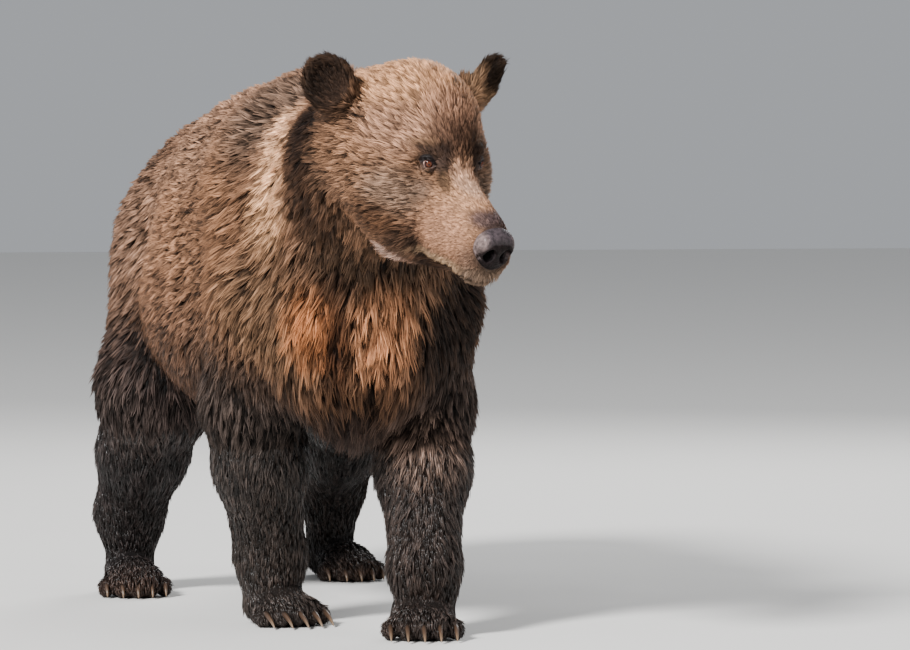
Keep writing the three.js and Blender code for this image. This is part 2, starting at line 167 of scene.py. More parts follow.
# Head: skull and forehead, cheeks, jaw muscles and brows; then muzzle, bridge and lower jaw, the hanging
# upper lips, the chin, and the gristle that carries the nose.
ball(in_head(0, 140, 42), (128, 160, 142), 40, 9, HEAD_TURN)
ball(in_head(0, 34, 20), (72, 92, 64), 45, 6, HEAD_TURN)
for s in (-1, 1):
    ball(in_head(s * 80, 118, -50), (78, 125, 108), 50, 10, HEAD_TURN)
    ball(in_head(s * 58, 66, -128), (66, 115, 78), 40, 10, HEAD_TURN)
    ball(in_head(s * 48, 4, 32), (28, 34, 16), 24, 4, HEAD_TURN)
limb(in_head(0, -10, -62), in_head(0, -165, -98), 62, 48, 45, 4)
limb(in_head(0, 20, -4), in_head(0, -186, -72), 38, 27, 35, 3)
limb(in_head(0, -126, -150), in_head(0, 60, -158), 38, 64, 40, 8)
for s in (-1, 1):
    ball(in_head(s * 26, -160, -128), (36, 60, 42), 24, 3, HEAD_TURN)
    ball(in_head(s * 40, -84, -126), (36, 62, 42), 24, 4, HEAD_TURN)
ball(in_head(0, -170, -161), (42, 46, 33), 18, 5, HEAD_TURN)
for s in (-1, 1):
    ball(in_head(s * 19, -186, -110), (27, 28, 36), 16, 3, HEAD_TURN)
ball(in_head(0, -206, -92), (38, 36, 32), 14, 2, HEAD_TURN)
ball(in_head(0, -198, -120), (32, 29, 32), 14, 2, HEAD_TURN)
EARS = {  # centre and half sizes of the disc, its turn, and the way out along it
    1: ((202, 208, 120), (46, 27, 76), turned(30, -4, 54), (0.8, 0, 0.6)),
    -1: ((-182, 212, 112), (56, 26, 64), turned(-38, -8, -24), (-0.75, 0, 0.66)),
}
for s, (at, size, way, _) in EARS.items():
    limb(in_head(s * 112, 215, 60), in_head(s * 155, 214, 92), 62, 44, 40, 9)
    ball(in_head(*at), size, 22, 7, HEAD_TURN @ way)
    cup = in_head(*at) + HEAD_TURN @ way @ (0, -22, 3)
    ball(cup, (size[0] - 16, 26, size[2] - 18), 12, -3, HEAD_TURN @ way, hollow=True)

# Round each eye: a hollow, a heavy upper lid and a thin lower one swelling over the eyeball, and the almond
# slit between them, pointed at the tear duct. Places on the lids are inward, out and up from the eye.
EYE_AT, EYE_RADIUS = np.array([59.0, -14.0, 15.0]), 14.0
UPPER_LID = ((-14, 9.5, 0), (-10, 13, 5.8), (-1, 14.8, 8.6), (7, 14.2, 6.6), (13, 11, -0.5))
LOWER_LID = ((-13, 9.5, -4), (-5, 13.2, -9.6), (4, 13.2, -9.6), (12, 11, -6))
CREASE = ((-16, 10, 11), (-4, 14, 16.5), (13, 12, 13))
MOUTH_LINE = ((0, -226, -166), (34, -210, -168), (50, -170, -172), (62, -130, -172), (70, -90, -170),
              (78, -56, -166), (92, -24, -156))


def lids_of(s, look=(0.6, -0.79, 0.08), dip=0.16):
    """Columns are the ways across to the bear's right, out of the left or right eye's socket, and up."""
    out = np.array([s * look[0], look[1], look[2]]) / np.linalg.norm(look)
    side = np.cross(out, [0.0, 0.0, 1.0])
    side = side / np.linalg.norm(side)
    side = side - dip * s * np.cross(side, out)  # the inner corner sits lower
    side /= np.linalg.norm(side)
    return HEAD_TURN @ np.stack([side, out, np.cross(side, out)], 1)


def fold(points, radius, melt, hollow=False):
    """A fold or a groove: a chain of limbs of one thickness."""
    for a, b in zip(points, points[1:]):
        limb(a, b, radius, radius, melt, 0, hollow)


for s in (-1, 1):
    eye, lids = in_head(*(EYE_AT * [s, 1, 1])), lids_of(s)
    at_lid = lambda inward, out, up: eye + lids @ (s * inward, out, up)
    ball(in_head(s * 60, -14, 10), (19, 18, 15), 14, 0, HEAD_TURN, hollow=True)
    ball(eye - lids @ (0, 0.5, 0), (17, 16.2, 16), 7)
    fold([at_lid(*p) for p in UPPER_LID], 3.8, 4)
    fold([at_lid(*p) for p in LOWER_LID], 2.4, 4)
    ball(at_lid(0, 14.5, -1.4), (10.8, 9, 7.0), 1.6, 0, lids, hollow=True)
    limb(at_lid(7, 13.5, -2.5), at_lid(14.5, 11.5, -4.5), 3.4, 1.4, 2, 0, hollow=True)
    fold([at_lid(*p) for p in CREASE], 2.2, 4, hollow=True)
    # The closed mouth's line runs under the lip's edge, from the front to the corner below the eye.
    fold([in_head(s * x, y, z) for x, y, z in MOUTH_LINE], 3.6, 6, hollow=True)
ball(in_head(0, -226, -103), (44, 30, 41), 3, 0, HEAD_TURN, hollow=True)  # the bed that the nose pad fills


AROUND = 22  # how far beyond its box and its melt a shape still counts


def hide(p, bare=1.0):
    """Signed distance in millimetres to the hide, or with bare=0 to the tips of the coat."""
    d = np.full(len(p), 999.0)
    for low, high, melt, hollow, away in flesh:
        near = np.flatnonzero(((p > low - melt - AROUND) & (p < high + melt + AROUND)).all(1))
        if len(near):
            q = away(p[near], bare)
            d[near] = -melted(-d[near], q, melt) if hollow else melted(d[near], q, melt)
    return d


# ---- Hide ----
# One unbroken skin from nose to tail: thick hide with short wool, bare and dark round the eyes, along the
# mouth and under the paws. It is drawn round the form in small squares and refined where the face needs it.

STEP, SEARCHED = 11.5, AROUND + 3  # a square's side, and how far round its box a shape is drawn
low = np.array([-420.0, -880.0, -25.0])  # a corner of the space round the bear, and how many squares it has
count = np.array([72, 208, 114])
axes = [low[i] + STEP * np.arange(count[i]) for i in range(3)]
field = np.full(count, 200.0, np.float32)
for shape_low, shape_high, melt, hollow, away in flesh:
    a = np.clip(((shape_low - melt - SEARCHED - low) / STEP).astype(int), 0, count - 1)
    b = np.clip(((shape_high + melt + SEARCHED - low) / STEP).astype(int) + 2, 1, count)
    part = tuple(slice(i, j) for i, j in zip(a, b))
    p = np.stack(np.meshgrid(*[axes[i][part[i]] for i in range(3)], indexing="ij"), -1)
    q = away(p, 1.0)
    field[part] = -melted(-field[part], q, melt) if hollow else melted(field[part], q, melt)
field = np.maximum(field, 0.5 - axes[2].astype(np.float32)[None, None])  # flat soles on the floor


def netted(field, low, step):
    """One point for each cube that the surface crosses and one quad for each crossed edge, as triangles."""
    n = np.array(field.shape)
    inside, unit = field < 0, np.eye(3, dtype=int)
    total = sum(inside[i:n[0] - 1 + i, j:n[1] - 1 + j, k:n[2] - 1 + k].astype(np.int8)
                for i in (0, 1) for j in (0, 1) for k in (0, 1))
    cubes = np.argwhere((total > 0) & (total < 8))
    number = np.full(n - 1, -1)
    number[tuple(cubes.T)] = np.arange(len(cubes))
    middle, hits, quads = np.zeros((len(cubes), 3)), np.zeros(len(cubes)), []
    for axis in range(3):
        u, v = (axis + 1) % 3, (axis + 2) % 3
        for i, j in ((0, 0), (0, 1), (1, 0), (1, 1)):
            start = cubes + i * unit[u] + j * unit[v]
            fa, fb = field[tuple(start.T)], field[tuple((start + unit[axis]).T)]
            hit = (fa < 0) != (fb < 0)
            place = start[hit].astype(float)
            place[:, axis] += fa[hit] / (fa[hit] - fb[hit])
            middle[hit] += place
            hits[hit] += 1
        first = inside[tuple(slice(0, n[i] - (i == axis)) for i in range(3))]
        second = inside[tuple(slice(int(i == axis), n[i]) for i in range(3))]
        edge = np.argwhere(first != second)
        edge = edge[(edge[:, u] > 0) & (edge[:, v] > 0) & (edge[:, u] < n[u] - 1) & (edge[:, v] < n[v] - 1)]
        quad = np.stack([number[tuple((edge - i * unit[u] - j * unit[v]).T)]
                         for i, j in ((1, 1), (0, 1), (0, 0), (1, 0))], 1)
        outward = first[tuple(edge.T)]
        quad[~outward] = quad[~outward][:, ::-1]
        quads.append(quad)
    points = low + step * middle / hits[:, None]
    q = np.concatenate(quads)
    one_way, other_way = (((points[q[:, i]] - points[q[:, i + 2]]) ** 2).sum(1) for i in (0, 1))
    q = np.where((one_way <= other_way)[:, None], q, np.roll(q, -1, 1))
    return points, np.concatenate([q[:, [0, 1, 2]], q[:, [0, 2, 3]]])


TETRA = np.array([[1, -1, -1], [-1, -1, 1], [-1, 1, -1], [1, 1, 1]], float)
FEEL, STRIDE = 0.7, 5  # how far off a point the slope is felt, and the most that it moves at once


def drawn_on(points, distance, steps=2, floor=0.5):
    """Moves points onto the surface where distance is nought, and gives the way out of it at each."""
    for step in range(steps + 1):
        values = [distance(points + FEEL * c) for c in TETRA]
        slope = sum(v[:, None] * c for v, c in zip(values, TETRA)) / (4 * FEEL)
        steep = np.maximum((slope * slope).sum(1, keepdims=True), 0.2)
        if step < steps:
            move = -(sum(values) / 4)[:, None] * slope / steep
            far = np.linalg.norm(move, axis=1, keepdims=True) + 1e-9
            points = points + move * np.minimum(1, STRIDE / far)
            points[:, 2] = np.maximum(points[:, 2], floor)
    return points, slope / np.sqrt(steep)


def finer(points, faces, wanted):
    """Halves every edge of the wanted triangles, and joins their neighbours to the new points."""
    n = len(points)
    ends = np.sort(np.stack([faces, np.roll(faces, -1, 1)], 2), 2)
    key = ends[..., 0] * n + ends[..., 1]
    split = np.unique(key[wanted])
    at = np.minimum(np.searchsorted(split, key), len(split) - 1)
    hit = split[at] == key
    new = np.where(hit, n + at, -1)
    points = np.concatenate([points, (points[split // n] + points[split % n]) / 2])
    out = [faces[~hit.any(1)]]
    for turn in range(3):  # turned so that the first edge, or the first two, are halved
        f, m, h = np.roll(faces, -turn, 1), np.roll(new, -turn, 1), np.roll(hit, -turn, 1)
        one = h[:, 0] & ~h[:, 1] & ~h[:, 2]
        two = h[:, 0] & h[:, 1] & ~h[:, 2]
        f1, m1, f2, m2 = f[one].T, m[one].T, f[two].T, m[two].T
        out += [np.stack(t, 1) for t in (
            (f1[0], m1[0], f1[2]), (m1[0], f1[1], f1[2]),
            (m2[0], f2[1], m2[1]), (f2[0], m2[0], m2[1]), (f2[0], m2[1], f2[2]))]
    f, m = faces[hit.all(1)].T, new[hit.all(1)].T
    out += [np.stack(t, 1) for t in (
        (f[0], m[0], m[2]), (m[0], f[1], m[1]), (m[2], m[1], f[2]), (m[0], m[1], m[2]))]
    return points, np.concatenate(out)


def round_about(values, faces):
    """The sum of the values at each point's neighbours, and how many neighbours it has."""
    edges = np.concatenate([faces[:, [0, 1]], faces[:, [1, 2]], faces[:, [2, 0]]])
    sums = [np.bincount(edges[:, 0], values[edges[:, 1], i], len(values)) for i in range(3)]
    return np.stack(sums, 1), np.bincount(edges[:, 0], minlength=len(values))


def eased(points, faces, normals, share=0.5):
    """Slides each point along the surface towards the middle of its neighbours."""
    total, count = round_about(points, faces)
    move = total / np.maximum(count, 1)[:, None] - points
    return points + share * (move - normals * (move * normals).sum(1, keepdims=True))


def head_place(points):
    """The same points as seen from the head: x to its left, -y past the nose, z up out of the crown."""
    return (points - HEAD_AT) @ HEAD_TURN


def eye_gap(points):
    """How far the nearer eye's middle is."""
    h = head_place(points)
    return np.minimum(np.linalg.norm(h - EYE_AT, axis=1), np.linalg.norm(h - EYE_AT * [-1, 1, 1], axis=1))


points, faces = netted(field, low, STEP)
points, normals = drawn_on(points, hide)
points, normals = drawn_on(eased(points, faces, normals), hide, 1)
for zone in (
    lambda h, gap: (h[:, 1] < 262) & (h[:, 2] > -235) & (np.abs(h[:, 0]) < 300),  # head and ears
    lambda h, gap: ((h[:, 1] < -50) & (h[:, 2] > -215)) | (gap < 46),  # muzzle, and round the eyes
    lambda h, gap: gap < 29,  # lids
):
    middle = points[faces].mean(1)
    points, faces = finer(points, faces, zone(head_place(middle), eye_gap(middle)))
    points, normals = drawn_on(points, hide, 1)
    points, normals = drawn_on(eased(points, faces, normals, 0.35), hide, 1)
depth = np.clip(-hide(points, 0.0), 1.5, 34)  # how deep the coat is at each point
head = head_place(points)

# Which way the hair lies: back from the nose over the head, back and down over the trunk, down the legs
# and forward over the paws. Each guide is a place, a way, and how far it counts; both sides alike.
lie_guides = []


def guide(at, way, far, from_head=False, both=True):
    """Combs the hair round a place along a way, on the other side too unless it lies in the middle."""
    for s in (1, -1) if both and at[0] else (1,):
        a, w = np.array([s * at[0], at[1], at[2]], float), np.array([s * way[0], way[1], way[2]], float)
        if from_head:
            a, w = in_head(*a), HEAD_TURN @ w
        lie_guides.append((a, w / np.linalg.norm(w), far))


for at, way in (
    ((0, 60, 1240), (0, 1, 0.1)), ((0, 500, 1150), (0, 1, 0)), ((0, 950, 1160), (0, 1, -0.1)),
    ((0, 1270, 1020), (0, 0.6, -0.9)), ((190, 100, 1130), (0.3, 1, -0.2)),
    ((230, 500, 1050), (0.2, 1, -0.2)), ((300, 120, 900), (0.25, 1, -0.12)),
    ((330, 500, 850), (0, 1, -0.16)), ((300, 100, 740), (0.1, 0.9, -0.42)),
    ((340, 450, 680), (0, 0.9, -0.5)), ((250, 450, 480), (0, 0.7, -0.8)), ((0, 450, 400), (0, 1, -0.3)),
    ((290, 1000, 900), (0, 0.9, -0.5)), ((320, 950, 700), (0, 0.55, -1)), ((180, 1330, 800), (0, 0.3, -1)),
    ((120, -290, 800), (0.45, 0.2, -1)), ((0, -330, 720), (0, 0, -1)), ((110, -300, 640), (0.12, 0, -1)),
    ((110, -250, 520), (-0.35, 0.2, -1)), ((230, -120, 700), (0.3, 0.45, -0.9)),
    ((0, -200, 450), (0, 0.5, -1)), ((210, -160, 850), (0.35, 0.8, -0.6)),
    ((180, -330, 1000), (0.4, 0.75, -0.75)), ((90, -330, 1160), (0.25, 1, -0.1)),
    ((200, -200, 1080), (0.5, 0.9, -0.5)), ((140, -420, 900), (0.3, 0.5, -1)),
    ((0, -400, 820), (0, 0.15, -1)),
):
    guide(at, way, 110)
for _, bend, ankle, heel, toes in LEGS.values():
    shin = (np.array(bend) + ankle) / 2
    for at, way in ((bend, (0, 0.25, -1)), (shin, (0, 0.2, -1)), (ankle, (0, -0.05, -1))):
        guide(at, way, 120, both=False)
    guide(np.array(heel) + turned(toes) @ (0, -150, 50), turned(toes) @ (0, -1, -0.45), 80, both=False)
for at, way, far in (
    ((0, -190, -40), (0, 1, 0.2), 45), ((0, -100, -5), (0, 1, 0.3), 45),
    ((50, -160, -90), (0.15, 1, -0.25), 45), ((56, -130, -138), (0.15, 0.8, -0.7), 34),
    ((50, -150, -166), (0.25, 0.1, -1), 26), ((72, -80, -164), (0.25, 0.4, -1), 26),
    ((26, -208, -158), (0.2, -0.3, -1), 22), ((62, -60, -80), (0.4, 1, -0.2), 45),
    ((0, -20, 70), (0.0, 0.8, 0.7), 45), ((60, -15, 45), (0.35, 0.7, 0.6), 25),
    ((85, 0, 10), (0.5, 1, 0), 35), ((66, -30, -18), (0.5, 1, -0.35), 30),
    ((115, 40, -60), (0.2, 1, -0.1), 60), ((110, 60, -130), (0.15, 1, -0.35), 60),
    ((70, -10, -190), (0.1, 1, -0.6), 50), ((0, -60, -210), (0, 1, -0.15), 50),
    ((0, -165, -190), (0, 0.6, -0.8), 35), ((0, 60, 118), (0, 1, 0.35), 60),
    ((60, 110, 120), (0.2, 1, 0.1), 60), ((0, 200, 150), (0, 1, -0.1), 70),
    ((115, 110, 60), (0.3, 1, 0.25), 60), ((130, 200, -40), (0.1, 1, -0.3), 80),
    ((0, 120, -215), (0, 1, -0.4), 70),
):
    guide(at, way, far, from_head=True)
for at, size, way, out in EARS.values():
    side, front = way @ (1, 0, 0), way @ (0, -1, 0)
    for across, up in ((-0.9, 0.1), (0.9, 0.1), (0, 0.9), (0, 0.1), (0, -0.6)):
        place = np.array(at) + across * size[0] * side + up * size[2] * np.array(out)
        lean = np.array(out) + 0.55 * np.sign(across) * side
        guide(place, lean + 0.1 * front, 34 if up > 0 else 26, from_head=True, both=False)

total = np.zeros_like(points)
for at, way, far in lie_guides:  # the nearest guides count by far the most
    gap = np.linalg.norm(points - at, axis=1)
    total += ((far / (gap + 15)) ** 4)[:, None] * way


def flat_on(way, normals):
    """The same ways laid flat on the hide, each of length one."""
    way = way - normals * (way * normals).sum(1, keepdims=True)
    return way / (np.linalg.norm(way, axis=1, keepdims=True) + 1e-9)


lie = flat_on(total / (np.linalg.norm(total, axis=1, keepdims=True) + 1e-9), normals)
for _ in range(12):
    lie = flat_on(round_about(lie, faces)[0] + 0.5 * lie, normals)


def linear(hex_colour):
    """An sRGB hex colour as linear red, green, blue and alpha."""
    c = np.array([int(hex_colour[i:i + 2], 16) / 255 for i in (1, 3, 5)])
    return tuple(np.where(c <= 0.04045, c / 12.92, ((c + 0.055) / 1.055) ** 2.4)) + (1.0,)


# The coat's markings, laid one over another, with some patches of painted light and shade among them: a
# soft patch is a place, how far it spreads, its colour and how strong it is. Skin and tufts both carry
# them.
colour = np.tile(linear("#6b4e3b")[:3], (len(points), 1))
wet = np.zeros(len(points))


def within(places, at, radii, edge):
    """1 inside a ball or egg round at, falling to 0 at its edge, which is counted in radii."""
    return np.clip(edge - np.linalg.norm((places - at) / radii, axis=1), 0, 1)


def patch(at, radii, tint, strength, from_head=False, both=True, wetter=None):
    """Lays a soft patch on the coat, on both sides unless it lies in the middle. Some are wetter too."""
    global colour, wet
    for s in (1, -1) if both and at[0] else (1,):
        share = within(head if from_head else points, np.array([s * at[0], at[1], at[2]]), radii, 1.5)
        share = share * share * (3 - 2 * share) * strength
        if tint:
            colour = colour + share[:, None] * (np.array(linear(tint)[:3]) - colour)
        if wetter is not None:
            wet = wet + share * (wetter - wet)


for at, radii, tint, strength, *more in (
    ((0, 480, 1120), (260, 520, 130), "#93705a", 0.8),  # grizzled back
    ((290, 60, 880), (130, 250, 170), "#70503a", 0.9),  # shoulders
    ((310, 480, 840), (130, 280, 170), "#89644b", 0.8),  # ribs
    ((330, 400, 690), (110, 180, 110), "#684b39", 0.6),
    ((230, 450, 1040), (100, 330, 90), "#94725b", 0.4),
    ((300, 860, 880), (130, 200, 150), "#8f6d57", 0.8),  # loins
    ((0, 1150, 640), (420, 330, 480), "#4c3c34", 0.85),  # rump and thighs
    ((0, 1400, 780), (44, 60, 84), "#2a201a", 0.8),  # tail
    ((230, 960, 540), (180, 300, 190), "#3e332e", 0.85),  # thighs
    ((200, 0, 520), (150, 200, 130), "#44342b", 0.8),  # upper arms
    ((0, 480, 460), (420, 520, 230), "#392a23", 0.9, True, 0.4),  # belly
    ((150, -40, 1150), (120, 120, 150), "#57463b", 0.85),  # dark saddle before the hump
    ((135, -160, 1120), (42, 60, 120), "#d4a480", 0.85),  # pale collar, from behind the ear down
    ((190, -250, 1030), (52, 70, 110), "#d2a17b", 0.85),
    ((222, -245, 930), (50, 70, 80), "#ab8260", 0.7),
    ((150, -440, 1010), (84, 110, 150), "#1a100b", 0.9),  # dark neck behind the cheek
    ((140, -400, 1100), (66, 100, 66), "#1d130e", 0.95),
    # Painted shade: the throat under the head is painted dark.
    ((0, -400, 840), (190, 130, 80), "#3a2c22", 1.0),  # throat
    ((200, -200, 720), (150, 120, 130), "#54402f", 0.7),
    ((-123, -300, 700), (56, 90, 84), "#8f5a38", 0.9, False),  # rusty breast
    ((20, -330, 690), (66, 90, 96), "#a3704f", 0.9, False),
    ((-70, -320, 640), (28, 90, 170), "#2e1a0f", 0.9, False),  # parting of the breast
    ((-30, -300, 510), (230, 130, 80), "#2e1f15", 0.9, False),
    ((0, -260, 455), (200, 150, 56), "#1f1713", 0.95),
    # Painted shade: the bear's left breast, shoulder and upper foreleg are painted darker, as if in shadow.
    ((150, -290, 650), (60, 90, 150), "#1d1613", 0.95, False),
    ((215, -190, 680), (90, 120, 260), "#1b1411", 0.95, False),  # the left side is darker
    ((0, -170, 450), (260, 190, 80), "#2f2521", 0.9, True, 0.8),
):
    patch(at, radii, tint, strength, False, *more)
LEG_TINTS = ("#362d29", "#38302c", "#2a2422", "#292322")
for (_, bend, ankle, heel, _), tint in zip(LEGS.values(), LEG_TINTS):
    shin = (np.array(bend) + ankle) / 2
    for at, radii, strength, wetter in (
        (bend, (190, 210, 150), 0.9, 0.8), (shin, (190, 240, 230), 1.0, 1.0),
        (ankle, (150, 190, 170), 0.9, 1.0), (heel, (190, 340, 190), 1.0, 1.0),
    ):
        patch(at, radii, tint, strength, both=False, wetter=wetter)
for at, radii, tint, strength, *more in (
    # Painted shade on the belly between the forelegs.
    ((0, 120, 420), (120, 320, 80), "#120c0a", 0.95, True, 0.0),  # belly between the forelegs
    ((355, 790, 430), (90, 130, 110), "#433935", 0.6),  # outside of the knee
    # Painted shade on the front of the left thigh.
    ((190, 985, 400), (130, 150, 170), "#0d0a09", 0.9, False, 0.0),  # front of the left thigh
    # Painted sheen: the top of the left foreleg is painted lighter.
    ((155, -170, 430), (90, 90, 85), "#6a564b", 0.85, False),  # top of the left foreleg
):
    patch(at, radii, tint, strength, False, *more)
for at, radii, tint, strength, *more in (
    ((0, 110, -20), (175, 165, 190), "#7f5e47", 1.0),  # head
    ((0, 150, 138), (150, 130, 70), "#b68763", 0.9),  # crown
    ((10, 20, 96), (50, 80, 50), "#866450", 0.7),  # forehead
    ((95, 60, 60), (60, 80, 50), "#94705a", 0.7),  # temples
    # Painted shade in the furrow over the brows.
    ((22, -28, 56), (30, 46, 50), "#3d2b21", 0.85),  # furrow over the brows
    ((58, 0, 48), (40, 26, 10), "#54402f", 0.7),  # brows
    # Painted shade on the far, left cheek.
    ((92, 0, -6), (34, 70, 56), "#4a392e", 0.7, False),
    ((105, 10, -60), (50, 80, 50), "#6a5648", 0.85),  # cheeks
    ((74, -40, -30), (20, 26, 30), "#7a675b", 0.7),  # hollow below the eye
    ((100, 40, -120), (70, 90, 40), "#402b1d", 0.85),  # wet lower cheeks
    ((82, -36, -152), (40, 62, 28), "#3a2a20", 0.9, True, 0.6),  # corner of the mouth
    # Painted shade under the jaw, which is also wetter there.
    ((0, -40, -200), (90, 150, 26), "#251913", 0.95, True, 0.6),  # under the jaw
    ((0, -120, -70), (60, 100, 70), "#ba8c6b", 0.95),  # muzzle
    ((50, -118, -104), (42, 82, 52), "#ad8064", 0.75),
    ((0, -90, -10), (22, 70, 20), "#c9a287", 0.8),  # bridge
    # Painted light: the bridge's sides are painted paler where the light falls on them.
    ((15, -62, 6), (13, 44, 22), "#b88e72", 0.8),
    # Painted shade in the furrow from the inner corner of each eye down beside the bridge.
    ((28, -46, 24), (11, 26, 34), "#271b15", 0.9),  # dark line between the eye and the bridge
    ((38, -66, -6), (9, 30, 26), "#54402f", 0.85),
    ((56, -120, -158), (30, 80, 12), "#bd9d7c", 0.8),  # ochre fringe over the lip
    ((16, -188, -54), (26, 36, 18), "#40363a", 0.85),  # thin-haired grey skin above the nose
    ((36, -196, -130), (22, 30, 26), "#806555", 0.7),
    ((0, -206, -158), (62, 36, 16), "#86705f", 0.85),  # front of the lip
    ((0, -176, -182), (60, 60, 15), "#75604f", 0.95),  # chin
):
    patch(at, radii, tint, strength, True, *more)
for s in (-1, 1):  # dark heavy upper lid and tear duct, paler lower lid
    inward, above = s * lids_of(s)[:, 0] @ HEAD_TURN, lids_of(s)[:, 2] @ HEAD_TURN
    eye = EYE_AT * [s, 1, 1]
    patch(eye + 11 * above + 8 * inward, (30, 22, 17), "#2b211d", 0.95, True, both=False)
    patch(eye + 24 * inward + 2 * above, (15, 20, 16), "#43352f", 0.8, True, both=False)
    # Painted shade along the brow fold above each eye.
    for side, high, tall in ((-15, 24, 6), (4, 27, 7), (22, 33, 9)):
        patch(eye + high * above + side * inward, (15, 14, tall), "#281c16", 0.85, True, both=False)
    patch(eye - 15 * above, (19, 16, 7), "#7b665b", 0.7, True, both=False)
# Painted highlight: the wet hairs of the lower lip's fold, on the right, are painted pale where they catch
# the light.
patch((-88, 26, -184), (34, 44, 9), "#c9a999", 0.9, True, both=False, wetter=1.0)  # wet lip fold
patch((-60, 6, -200), (34, 40, 11), "#b8937f", 0.9, True, both=False, wetter=1.0)
for s, (at, _, way, out) in EARS.items():
    patch(at, (78, 60, 78), "#2e2219" if s > 0 else "#231811", 1.0, True, both=False)
    root = np.array(at) - 40 * np.array(out) - 24 * (way @ (0, 1, 0))
    patch(root, (40, 26, 40), "#a07c5e" if s > 0 else "#33241b", 0.85, True, both=False)
    patch(np.array(at) - (s * 44, 0, 62), (40, 60, 26), "#4a3629", 0.6, True, both=False)

# Bare dark skin: eyelids, the mouth's line, the edge of the nose and the pads under the paws.
gap = eye_gap(points)
lid_tint = np.clip((head[:, 2] - EYE_AT[2] + 6) / 7, 0, 1)[:, None]  # the lower lid is greyish pink
bare = np.clip((19 + 5 * lid_tint[:, 0] - gap) / 3.0, 0, 1)
lid_colour = lid_tint * linear("#191312")[:3] + (1 - lid_tint) * linear("#5b4841")[:3]
colour = colour + bare[:, None] * (lid_colour - colour)
MOUTH_HIGH = -171
lip = np.clip(1.5 - np.abs(head[:, 2] - MOUTH_HIGH) / 5.0, 0, 1) * (head[:, 1] < -30) * (head[:, 1] > -235)
nose_near = np.clip(1.25 - np.linalg.norm((head - [0, -226, -102]) / [44, 28, 44], axis=1), 0, 0.25) * 4
sole = ((normals[:, 2] < -0.75) & (points[:, 2] < 30)) * 1.0
dark_skin = np.maximum(np.maximum(lip, nose_near), sole)
colour = colour + dark_skin[:, None] * (np.array(linear("#1d1715")[:3]) - colour)
bare = np.maximum(bare, dark_skin)
wet = np.maximum(wet, bare * 0.8)

# From the bear's own millimetres to the model's metres.
eye_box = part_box("eye_left")
shift = 1000 * np.array(eye_box[0] + eye_box[1]) / 2 - in_head(*EYE_AT)
shift[2] = 0


def opaque(colours):
    """The same linear colours, each with its alpha."""
    return np.column_stack([colours, np.ones(len(colours))])


def carry(mesh, **values):
    """Gives a mesh's points named values: numbers, ways, or colours with their alpha."""
    for name, each in values.items():
        columns = each.size // len(each)
        kind, part = {1: ("FLOAT", "value"), 3: ("FLOAT_VECTOR", "vector"),
                      4: ("FLOAT_COLOR", "color")}[columns]
        mesh.attributes.new(name, kind, "POINT").data.foreach_set(part, each.astype(np.float32).ravel())


def solid(name, points, faces, **values):
    """A smooth mesh object at the origin, from points in the bear's millimetres and what they carry."""
    mesh = bpy.data.meshes.new(name)
    mesh.vertices.add(len(points))
    mesh.vertices.foreach_set("co", ((points + shift) / 1000).astype(np.float32).ravel())
    mesh.loops.add(faces.size)
    mesh.loops.foreach_set("vertex_index", faces.astype(np.int32).ravel())
    mesh.polygons.add(len(faces))
    mesh.polygons.foreach_set("loop_start", np.arange(0, faces.size, faces.shape[1], dtype=np.int32))
    mesh.update(calc_edges=True)
    mesh.polygons.foreach_set("use_smooth", np.ones(len(faces), bool))
    carry(mesh, **values)
    item = bpy.data.objects.new(name, mesh)
    scene.collection.objects.link(item)
    return item


def add(tree, kind, *first, **given):
    """Adds a node. A small name is a setting, and a capital name is an input's own. The first inputs are
    given by place, and i3 is the fourth. An input is a value, a socket, or a node, for its first output."""
    node = tree.nodes.new(kind if "Node" in kind else "ShaderNode" + kind)
    inputs = dict(enumerate(first))
    for key, value in given.items():
        if key[0].isupper():
            inputs[key.replace("_", " ")] = value
        elif key[1:].isdigit():
            inputs[int(key[1:])] = value
        else:
            setattr(node, key, value)
    for key, value in inputs.items():
        if isinstance(value, bpy.types.Node):
            value = value.outputs[0]
        if isinstance(value, bpy.types.NodeSocket):
            tree.links.new(value, node.inputs[key])
        else:
            node.inputs[key].default_value = value
    return node


def new_finish(name):
    """A material and its node tree, which is still empty."""
    made = bpy.data.materials.new(name)
    made.use_nodes = True
    made.node_tree.nodes.clear()
    return made, made.node_tree


# Hide under the fur: matt, a little oily, with a fine nap combed along the lie that reads as short hair.
# Real hairs are 0.1 mm thick, too fine to show, so the nap is drawn coarser. A MapRange is given its value,
# the range that comes in and the range that goes out.
hide_finish, tree = new_finish("hide_with_combed_nap")
mark = add(tree, "Attribute", attribute_name="marking")
combed = add(tree, "Attribute", attribute_name="lie").outputs["Vector"]
naked = add(tree, "Attribute", attribute_name="bare").outputs["Fac"]
place = add(tree, "TexCoord").outputs["Object"]
along = add(tree, "VectorMath", place, combed, operation="DOT_PRODUCT").outputs["Value"]
pressed = add(tree, "Math", along, -0.88, operation="MULTIPLY")
drawn_out = add(tree, "VectorMath", combed, operation="SCALE", Scale=pressed)
nap_place = add(tree, "VectorMath", place, drawn_out, operation="ADD")
hairs = add(tree, "TexNoise", Vector=nap_place, Scale=420.0, Detail=3.0, Roughness=0.6)  # 2.4 mm
tufts = add(tree, "TexNoise", Vector=nap_place, Scale=90.0, Detail=2.0)  # 11 mm
both_naps = add(tree, "Math", tufts, 0.8, hairs, operation="MULTIPLY_ADD")
light = add(tree, "MapRange", both_naps, 0.65, 1.15, 0.4, 1.15)
light = add(tree, "Mix", naked, i2=light, i3=0.9)
shade = add(tree, "VectorMath", mark, operation="SCALE", Scale=light)
nap_depth = add(tree, "MapRange", naked, 0.0, 1.0, 0.9, 0.25)
nap_bump = add(tree, "Bump", Strength=nap_depth, Distance=0.004, Height=both_naps)
dull = add(tree, "MapRange", naked, 0.0, 1.0, 0.8, 0.36)
